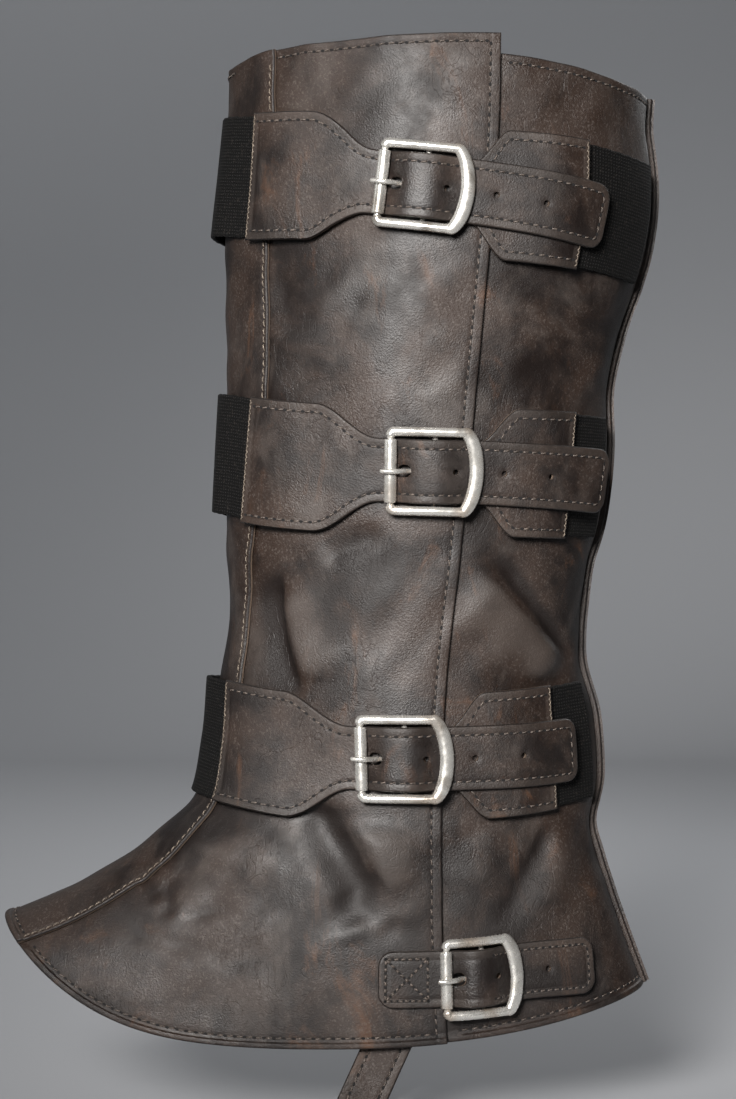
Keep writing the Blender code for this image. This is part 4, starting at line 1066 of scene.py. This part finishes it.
def make_webbing(name, path, strap):
    """A strap's two elastic pieces: over the shin to the inner side, and from the chape to the back seam."""
    front_end, back_start = strap["billet_start"] + WEBBING_LAP, strap["chape_end"] - WEBBING_LAP
    half = WEBBING_HALF
    columns = [-half + WEBBING_EDGES, np.linspace(-half + 1.6, half - 1.6, 44), half - WEBBING_EDGES[::-1]]
    for part, start, end, lift in (
        ("front", path.s_at(WEBBING_INNER_END), front_end, front_lift(path, strap)),
        ("back", back_start, path.s_at(WEBBING_BACK_END), lambda s, t: BACK_LIFT),
    ):
        stations = np.linspace(start, end, round(end - start))
        s, t = np.meshgrid(stations, np.concatenate(columns), indexing="ij")
        depth = half - np.abs(t)
        weave = 0.12 * np.sin(s * 0.9) * smooth(half - 6, half, np.abs(t))
        face = path.point(s, t + weave, lift(s, t) + WEBBING_THICK - edge_drop(depth, 0.6))
        back = path.point(s, t + weave, lift(s, t) + edge_drop(depth, BACK_ROUND))
        marks = {"along": s, "across": t, "edge": np.exp(-depth)}
        node = f"webbing_{part}_{name}"
        ride(shell(f"{node}_elastic", face, back, marks), "webbing", node)


# Heel strap: short, with no webbing
HEEL_LEVEL, HEEL_TILTS, HEEL_BAR_ANGLE = -320.0, (-2, -2, -2, -4, -12), 119.0
HEEL_WIDTH = 22.4
HEEL_START, HEEL_TIP = -42.0, 48.0
HEEL_HOLES = (-9.8, 6.0, 28.0)
HEEL_CHAPE_END = 32.0

# Stirrup: a doubled strap from inside the hem, under the arch of the shoe and up the other side
STIRRUP_WIDTH = 18.5
STIRRUP_TOP_LEVEL, STIRRUP_BOTTOM = -322.0, -384.0
STIRRUP_CORNER = 14.0
STIRRUP_X_TOP, STIRRUP_X_BOTTOM = -11.0, -39.5
STIRRUP_CLEARANCE = 1.7
STIRRUP_SKEW = 4.0


def stirrup_x(z):
    """The stirrup slants forward on its way down."""
    share = np.clip((STIRRUP_TOP_LEVEL - z) / (STIRRUP_TOP_LEVEL - STIRRUP_BOTTOM), 0, 1)
    return STIRRUP_X_TOP + (STIRRUP_X_BOTTOM - STIRRUP_X_TOP) * share


def wall_half_width(x, level):
    """Half the width of the form at a place along the shoe."""
    ring = leg(np.linspace(20, 160, 281), level)
    return float(np.interp(x, ring[:, 0], -ring[:, 1]))


def stirrup_side(side):
    """The stirrup's middle line from inside the hem to the bottom. side is -1 outside, 1 inside the leg."""
    mid_z = STIRRUP_BOTTOM + STIRRUP_THICK / 2
    skew = STIRRUP_SKEW * (1 + side)
    line = []
    for z in (STIRRUP_TOP_LEVEL, -334.0, HEM_LEVEL, -357.0, mid_z + STIRRUP_CORNER):
        x = stirrup_x(z) + skew
        half = wall_half_width(x, max(z, HEM_LEVEL)) - STIRRUP_CLEARANCE - STIRRUP_THICK / 2
        line.append((x, side * half, z))
    for turn in np.radians([30, 60, 90]):
        z = mid_z + STIRRUP_CORNER * (1 - math.sin(turn))
        line.append((stirrup_x(z) + skew, side * (half - STIRRUP_CORNER * (1 - math.cos(turn))), z))
    return line


def make_stirrup():
    """Down the outer side, under the arch and up the inner side, with a stitch line along both edges."""
    down, up = stirrup_side(-1), stirrup_side(1)[::-1]
    line = open_curve([*down, (np.array(down[-1]) + up[0]) / 2, *up], 8)
    ahead = unit(np.gradient(line, axis=0))
    away = unit(np.stack([np.zeros(len(line)), ahead[:, 2], -ahead[:, 1]], axis=1))
    across = unit(np.cross(away, ahead))
    half = STIRRUP_WIDTH / 2
    t = np.concatenate([-half + STRAP_MARGIN, np.linspace(-half + 6, half - 6, 6), half - STRAP_MARGIN[::-1]])
    depth = np.broadcast_to(half - np.abs(t), (len(line), len(t)))
    lift = away[:, None] * (STIRRUP_THICK / 2 - edge_drop(depth) - pressed(depth, STRAP_STITCH))[..., None]
    middle = line[:, None] + across[:, None] * t[:, None]
    ride(shell("stirrup_leather", middle + lift, middle - lift, strap_marks(depth)), "strap", "stirrup")

    def place(u, v, height):
        at, beside, out = (along_rows(values, np.arange(len(line)), u) for values in (line, across, away))
        return at + beside * v[:, None] + out * (STIRRUP_THICK / 2 + height)

    sewing = Sewing("stirrup", "brown_thread")
    u = np.linspace(4, len(line) - 5, 300)
    for side in (-1, 1):
        sewing.row(place, u, np.full(300, side * (half - STRAP_STITCH)))
    sewing.build()


# Materials
class Look:
    """A node material, with short calls that add nodes to it."""

    def __init__(self, name, roughness=0.5, metallic=0.0, specular=0.5):
        self.material = bpy.data.materials.new(name)
        self.material.use_nodes = True
        self.tree = self.material.node_tree
        self.shader = self.tree.nodes["Principled BSDF"]
        self.shader.inputs["Roughness"].default_value = roughness
        self.shader.inputs["Metallic"].default_value = metallic
        self.shader.inputs["Specular IOR Level"].default_value = specular
        self.place = self.node("TexCoord", "Object")

    def link(self, value, socket):
        if isinstance(value, bpy.types.NodeSocket):
            self.tree.links.new(value, socket)
        elif value is not None:
            socket.default_value = (*value, 1.0) if socket.type == "RGBA" else value

    def node(self, kind, output, inputs=None, **settings):
        """Adds a node, sets it up, fills its inputs, and gives one of its outputs."""
        made = self.tree.nodes.new(f"ShaderNode{kind}")
        for name, value in settings.items():
            setattr(made, name, value)
        for name, value in (inputs or {}).items():
            self.link(value, made.inputs[name])
        return made.outputs[output]

    def mark(self, name):
        return self.node("Attribute", "Fac", attribute_name=name)

    def noise(self, scale, detail=4.0, roughness=0.55, distortion=0.0, at=None):
        inputs = {"Scale": scale, "Detail": detail, "Roughness": roughness, "Distortion": distortion}
        return self.node("TexNoise", "Fac", {"Vector": at or self.place, **inputs})

    def cells(self, scale):
        return self.node("TexVoronoi", "Distance", {"Vector": self.place, "Scale": scale})

    def squashed(self, z):
        return self.node("Mapping", "Vector", {"Vector": self.place, "Scale": (1.0, 1.0, z)})

    def math(self, operation, a, b=0.0, clamp=False):
        return self.node("Math", "Value", {0: a, 1: b}, operation=operation, use_clamp=clamp)

    def times(self, a, b):
        return self.math("MULTIPLY", a, b)

    def between(self, value, low, high, out_low=0.0, out_high=1.0):
        inputs = {"Value": value, "From Min": low, "From Max": high, "To Min": out_low, "To Max": out_high}
        return self.node("MapRange", "Result", inputs, interpolation_type="SMOOTHSTEP")

    def mix(self, share, a, b):
        return self.node("Mix", "Result", {"Factor": share, "A": a, "B": b}, data_type="RGBA")

    def bump(self, height, strength, distance, after=None):
        inputs = {"Strength": strength, "Distance": distance, "Height": height, "Normal": after}
        return self.node("Bump", "Normal", inputs)

    def finish(self, colour, roughness=None, normal=None):
        for value, socket in ((colour, "Base Color"), (roughness, "Roughness"), (normal, "Normal")):
            self.link(value, self.shader.inputs[socket])
        return self.material


DARK_BROWN, BROWN, GREY_BROWN = (0.0060, 0.0031, 0.0022), (0.026, 0.0155, 0.0110), (0.058, 0.047, 0.041)
RUBBED, RAW_EDGE, FLESH = (0.085, 0.040, 0.020), (0.010, 0.007, 0.006), (0.130, 0.090, 0.064)
SPECKLE = (0.105, 0.088, 0.078)


def leather_look(name, margin_colour, worn):
    """Waxed, worn leather: cloudy brown with greyer and rust patches, fine grain and small creases."""
    look = Look(name)
    cloud = look.between(look.noise(24, 6, 0.65, 0.4), 0.40, 0.61)
    bloom = look.between(look.noise(34, 6, 0.65, 0.6, look.squashed(0.55)), 0.5, 0.75)
    rub = look.between(look.noise(48, 6, 0.7, 0.8, look.squashed(0.45)), 0.58, 0.74)
    speckle = look.between(look.noise(1000, 3, 0.6), 0.52, 0.68, 0.0, 0.45)
    scuff = look.between(look.noise(420, 3, 0.6), 0.45, 0.7)
    fold_shade_and_wear, edge, flesh = look.mark("fold_shade_and_wear"), look.mark("edge"), look.mark("flesh")
    colour = DARK_BROWN
    for share, patch in (
        (cloud, BROWN),
        (look.times(bloom, 0.7), GREY_BROWN),
        (look.times(rub, 0.6), RUBBED),
        (look.times(speckle, cloud), SPECKLE),
        # Fold crests lighter, partly rub wear and partly painted highlight; fold troughs darker as painted
        # shade
        (look.between(fold_shade_and_wear, 0.2, 1.0, 0.0, 0.6), GREY_BROWN),
        (look.between(fold_shade_and_wear, -0.9, -0.05, 0.9, 0.0), DARK_BROWN),
        (look.times(look.mark("margin"), 0.25), margin_colour),
        (look.times(look.times(look.between(edge, 0.25, 0.75), scuff), worn), margin_colour),
        (look.between(edge, 0.45, 0.85), RAW_EDGE),
        (flesh, FLESH),
    ):
        colour = look.mix(share, colour, patch)
    vein = look.noise(95, 3, 0.6, 1.6, look.squashed(0.6))
    crack = look.between(look.math("ABSOLUTE", look.math("SUBTRACT", vein, 0.5)), 0.0, 0.022)
    cracked = look.between(look.noise(16, 2), 0.47, 0.62)
    normal = None
    for height, strength, distance in (
        (look.cells(1150), 0.32, 0.00018),
        (look.noise(1600, 3, 0.6), 0.80, 0.00022),
        (look.times(look.math("SUBTRACT", crack, 1.0), cracked), 0.42, 0.0003),
        (look.noise(70, 3, 0.5), 0.10, 0.0008),
    ):
        normal = look.bump(height, strength, distance, normal)
    rough = look.between(look.noise(30, 5, 0.65), 0.35, 0.65, 0.44, 0.66)
    rough = look.math("ADD", rough, look.times(flesh, 0.4), clamp=True)
    return look.finish(colour, rough, normal)


def webbing_look():
    """Black ribbed elastic: ribs across its length, dotted by the weave in painted highlight and shade."""
    look = Look("webbing", roughness=0.75, specular=0.22)
    rib = look.math("SINE", look.times(look.mark("along"), 2 * math.pi / 1.7))
    pick = look.math("SINE", look.times(look.mark("across"), 2 * math.pi / 1.3))
    shaded_weave_dots = look.times(look.between(rib, -0.6, 1.0), look.between(pick, -0.4, 1.0))
    # Raised weave dots painted lighter and the grooves between them near-black: painted highlight and shade
    colour = look.mix(shaded_weave_dots, (0.0012, 0.0011, 0.0010), (0.012, 0.0112, 0.0108))
    fuzz = look.between(look.noise(700, 2), 0.55, 0.75)
    colour = look.mix(look.times(fuzz, 0.3), colour, (0.05, 0.042, 0.036))
    return look.finish(colour, None, look.bump(shaded_weave_dots, 0.9, 0.0005))


def thread_look(name, colour, dark):
    """Waxed thread with a twist."""
    look = Look(name, roughness=0.6)
    strand = look.noise(1400, 2)
    twisted = look.mix(look.between(strand, 0.35, 0.7), dark, colour)
    return look.finish(twisted, None, look.bump(strand, 0.4, 0.0002))


def metal_look():
    """Antique nickel: bright where it is rubbed, greyer and warmer between, with fine scratches."""
    look = Look("metal", roughness=0.3, metallic=0.80)
    tarnish = look.between(look.noise(75, 3, 0.5, 0.4), 0.5, 0.75)
    warm = look.between(look.noise(60, 3, 0.5), 0.5, 0.7)
    colour = look.mix(tarnish, (0.86, 0.84, 0.79), (0.42, 0.38, 0.33))
    colour = look.mix(look.times(warm, 0.45), colour, (0.62, 0.47, 0.34))
    scratches = look.noise(300, 4, 0.6)
    rough = look.between(scratches, 0.3, 0.75, 0.20, 0.34)
    return look.finish(colour, rough, look.bump(scratches, 0.02, 0.0001))


def plain_look(name, colour, roughness):
    return Look(name, roughness=roughness).finish(colour)


LOOKS = {
    "leather": leather_look("leather", (0.045, 0.034, 0.028), 0.25),
    "strap": leather_look("strap_leather", (0.056, 0.045, 0.038), 0.45),
    "webbing": webbing_look(),
    "metal": metal_look(),
    "light_thread": thread_look("light_thread", (0.22, 0.18, 0.14), (0.07, 0.054, 0.041)),
    "brown_thread": thread_look("brown_thread", (0.125, 0.100, 0.084), (0.034, 0.026, 0.021)),
    # Needle hole discs: near-black painted shade
    "hole": plain_look("needle_hole_shade", (0.004, 0.003, 0.003), 0.9),
}
SLOTS = dict.fromkeys(LOOKS, "leather") | {"webbing": "webbing", "metal": "metal"}


# The pieces, put together
def seam(level):
    return section("seam", level)


def flap(level):
    return section("flap", level)


def even(value):
    return lambda level: np.full(np.shape(level), float(value)) if np.ndim(level) else float(value)


def make_panels():
    strip = Panel("shin_strip", lambda z: -seam(z), seam, on_side_panels, 2.4)
    side = Panel("side_panel", lambda z: seam(z) - LAP_DEGREES, flap, over_back_panel, 1.5, cover=seam)
    back = Panel(
        "back_panel", lambda z: flap(z) - UNDERLAP_DEGREES, even(FIN_TURN), lies_flat, 1.6,
        cover=flap, fin=-1,
        fin_height=FIN_HEIGHT - 1.3,
    )
    inner = Panel(
        "inner_panel", lambda z: LAP_DEGREES - seam(z), even(-FIN_TURN), lies_flat, 2.4,
        cover=lambda z: -seam(z), fin=1, fin_height=FIN_HEIGHT,
    )
    strip.build((SEAM_STITCH, SEAM_STITCH, RIM_STITCH, HEM_STITCH))
    side.build((None, FLAP_STITCH, RIM_STITCH, HEM_STITCH))
    back.build((None, None, RIM_STITCH, HEM_STITCH))
    inner.build((None, None, RIM_STITCH, HEM_STITCH))
    sew_seam(strip)
    sew_panels(strip, side, back, inner)


def sew_seam(strip):
    """Both edges of the shin strip in light thread."""
    sewing = Sewing("front_seam", "light_thread")
    level = np.linspace(HEM_LEVEL + 3.5, 44.0, 700)
    for sign in (-1, 1):
        edge = sign * seam(level)
        angle = edge - sign * SEAM_STITCH / per_degree(edge, level)
        sewing.row(strip.place, angle, level, pitch=3.2, length=2.7, holes=False)
    sewing.build()


def sew_panels(strip, side, back, inner):
    """The side panel's free edge, the rim and the hem in brown thread, between pairs of angles."""
    sewing = Sewing("panel", "brown_thread")
    level = np.linspace(HEM_LEVEL + 3.5, 52.0, 700)
    edge = flap(level)
    sewing.row(side.place, edge - FLAP_STITCH / per_degree(edge, level), level)
    for panel, rim, hem in (
        (strip, (-16.0, 16.0), (-16.5, 16.5)), (side, (38.0, 101.0), (22.0, 109.5)),
        (back, (108.0, 174.0), (115.0, 174.0)), (inner, (-40.0, -174.0), (-21.0, -174.0)),
    ):
        angle = np.linspace(*rim, 400)
        sewing.row(panel.place, angle, top_level(panel.name, angle) - RIM_STITCH)
        angle = np.linspace(*hem, 500)
        sewing.row(panel.place, angle, HEM_LEVEL + HEM_STITCH / hem_rise(angle))
    sewing.build()


def sew_end(piece, ends, s, half):
    """A flared end is sewn down in one zigzag row of light thread."""
    t = np.linspace(-half + 1.2, half - 1.2, 120)
    ends.row(piece.place, np.full(120, s), t, pitch=1.1, length=1.9, radius=0.26, holes=False, zigzag=0.5)


def sew_billet(billet, sewing, ends):
    """The long edges and the tip in brown thread, and the flared end in light thread."""
    for side in (-1, 1):
        sewing.row(billet.place, *billet.outline(STRAP_STITCH, billet.start + 3.2, NECK_START + 4, side))
    sewing.row(billet.place, *billet.tip_outline(STRAP_STITCH, -13.5))
    sew_end(billet, ends, billet.start + 1.3, float(billet.half_width(billet.start + 2)))


def sew_chape(chape, sewing, ends):
    s = np.linspace(chape.end - 3.2, CHAPE_NECK - 2, 120)
    half = chape.half_width(s)
    for side in (-1, 1):
        t = side * (half - STRAP_STITCH * np.sqrt(1 + np.gradient(half, s) ** 2))
        sewing.row(chape.place, s, t)
    sew_end(chape, ends, chape.end - 1.3, float(chape.half_width(chape.end)))


def make_strap(strap):
    """One strap: its billet and chape with their sewing, its buckle and its two pieces of webbing."""
    name, start, end = strap["name"], strap["billet_start"], strap["chape_end"]
    front, tilt, back = strap["front_tilt"], strap["tilt"], strap["back_tilt"]
    billet_path = StrapPath(strap["level"], (0, front, tilt, tilt, tilt), strap["bar_angle"])
    path = StrapPath(strap["level"], (0, front, tilt, tilt, back), strap["bar_angle"])
    holes = [(FIRST_HOLE, PRONG_HOLE_RADIUS)]
    holes += [(FIRST_HOLE + HOLE_PITCH * k, HOLE_RADIUS) for k in (1, 2, 3)]
    size = Buckle(BILLET_WIDTH + BUCKLE_EASE)
    line = billet_line(size)

    def bottom(s):
        return billet_height(s, line, start + WEBBING_LAP, end - WEBBING_LAP, strap["tip_lift"])

    billet = Billet(
        f"billet_{name}", billet_path, start, BILLET_TIP, BILLET_WIDTH, holes, bottom, True, strap["shear"]
    )
    chape = Chape(f"chape_{name}", path, end, BILLET_WIDTH - CHAPE_NARROWER, True)
    sewing, ends = Sewing(f"strap_{name}", "brown_thread"), Sewing(f"strap_{name}_ends", "light_thread")
    billet.build()
    chape.build()
    sew_billet(billet, sewing, ends)
    sew_chape(chape, sewing, ends)
    sewing.build()
    ends.build()
    make_buckle(name, path, size)
    make_webbing(name, path, strap)


def make_heel_strap():
    path = StrapPath(HEEL_LEVEL, HEEL_TILTS, HEEL_BAR_ANGLE, settle=(114.0, 128.0))
    holes = [(HEEL_HOLES[0], PRONG_HOLE_RADIUS)] + [(s, HOLE_RADIUS) for s in HEEL_HOLES[1:]]
    size = Buckle(HEEL_WIDTH + BUCKLE_EASE)
    line = billet_line(size)
    billet = Billet(
        "billet_heel", path, HEEL_START, HEEL_TIP, HEEL_WIDTH, holes, lambda s: billet_height(s, line), False
    )
    billet.build()
    Chape("chape_heel", path, HEEL_CHAPE_END, HEEL_WIDTH - CHAPE_NARROWER, False).build()
    sewing = Sewing("heel", "brown_thread")
    sewing.row(billet.place, *billet.tip_outline(2.8, 4.0), pitch=3.0, length=2.1)
    sew_tab(billet, sewing)
    sewing.build()
    make_buckle("heel", path, size)


def sew_tab(billet, sewing):
    """A box with a cross holds the tab to the side panel."""
    low, high = HEEL_START + 3.0, HEEL_START + 20.0
    half = HEEL_WIDTH / 2 - 3.0
    a, b, c, d = (low, -half), (high, -half), (high, half), (low, half)
    for first, last in ((a, b), (b, c), (c, d), (d, a), (a, c), (d, b)):
        s, t = np.linspace(first, last, 60).T
        sewing.row(billet.place, s, t, pitch=2.6, length=1.8, radius=0.5)


# Camera, lights and floor
VIEW_X, VIEW_Z, VIEW_DISTANCE, LENS, SENSOR = -0.0295, -0.1471, 1.300, 102.6, 36.0
LIGHT_COLUMNS = ("name", "place", "aim", "size", "spread", "power", "colour")
LIGHTS = (
    ("key", (-0.36, -1.62, 0.30), (0.03, 0.0, -0.10), 0.50, 34.0, 3.15, (1.0, 0.975, 0.95)),
    ("side", (-1.35, -0.20, 0.10), (0.0, 0.0, -0.14), 0.5, 180.0, 0.7, (0.95, 0.98, 1.0)),
    ("back", (0.80, 1.10, 0.60), (0.0, 0.0, -0.14), 0.8, 180.0, 5.0, (1.0, 1.0, 1.0)),
    ("wall", (-0.45, 0.9, 1.9), (-0.45, 2.8, 0.2), 1.6, 180.0, 23.0, (1.0, 1.0, 1.0)),
)
SKY_COLOUR, SKY_POWER = (0.80, 0.83, 0.88, 1), 0.05
SWEEP_FRONT, SWEEP_BACK, SWEEP_BEND, SWEEP_HIGH, SWEEP_WIDE = -4.0, 2.2, 0.6, 3.4, 4.0


def make_camera():
    camera = bpy.data.cameras.new("camera")
    camera.lens = LENS
    camera.sensor_width = SENSOR
    made = add_object("camera", camera)
    made.location = (VIEW_X, -VIEW_DISTANCE, VIEW_Z)
    made.rotation_euler = (math.radians(90), 0, 0)
    bpy.context.scene.camera = made


def make_lights():
    for row in LIGHTS:
        light = dict(zip(LIGHT_COLUMNS, row))
        lamp = bpy.data.lights.new(light["name"], "AREA")
        lamp.shape = "DISK"
        lamp.size = light["size"]
        lamp.spread = math.radians(light["spread"])
        lamp.energy = light["power"]
        lamp.color = light["colour"]
        made = add_object(light["name"], lamp)
        made.location = light["place"]
        ahead = Vector(light["aim"]) - Vector(light["place"])
        made.rotation_euler = ahead.to_track_quat("-Z", "Y").to_euler()
    world = bpy.data.worlds.new("studio")
    world.use_nodes = True
    world.node_tree.nodes["Background"].inputs["Color"].default_value = SKY_COLOUR
    world.node_tree.nodes["Background"].inputs["Strength"].default_value = SKY_POWER
    bpy.context.scene.world = world
    bpy.context.scene.view_settings.view_transform = "Standard"


def make_stage():
    """A pale sweep: a floor that curves up into a backdrop."""
    bottom = CAD_BOX[0][2] - 0.0005
    profile = [(SWEEP_FRONT, 0.0), (SWEEP_BACK, 0.0)]
    for turn in np.radians(np.arange(5, 91, 5)):
        profile.append((SWEEP_BACK + SWEEP_BEND * math.sin(turn), SWEEP_BEND * (1 - math.cos(turn))))
    profile.append((SWEEP_BACK + SWEEP_BEND, SWEEP_HIGH))
    points = [(x, y, bottom + z) for y, z in profile for x in (-SWEEP_WIDE, SWEEP_WIDE)]
    faces = [(2 * k, 2 * k + 1, 2 * k + 3, 2 * k + 2) for k in range(len(profile) - 1)]
    mesh = bpy.data.meshes.new("sweep")
    mesh.from_pydata(points, [], faces)
    mesh.shade_smooth()
    mesh.materials.append(plain_look("sweep", (0.42, 0.43, 0.45), 0.85))
    add_object("sweep", mesh)


make_camera()
make_lights()
make_stage()
make_panels()
for strap in STRAPS:
    make_strap(strap)
make_heel_strap()
make_stirrup()
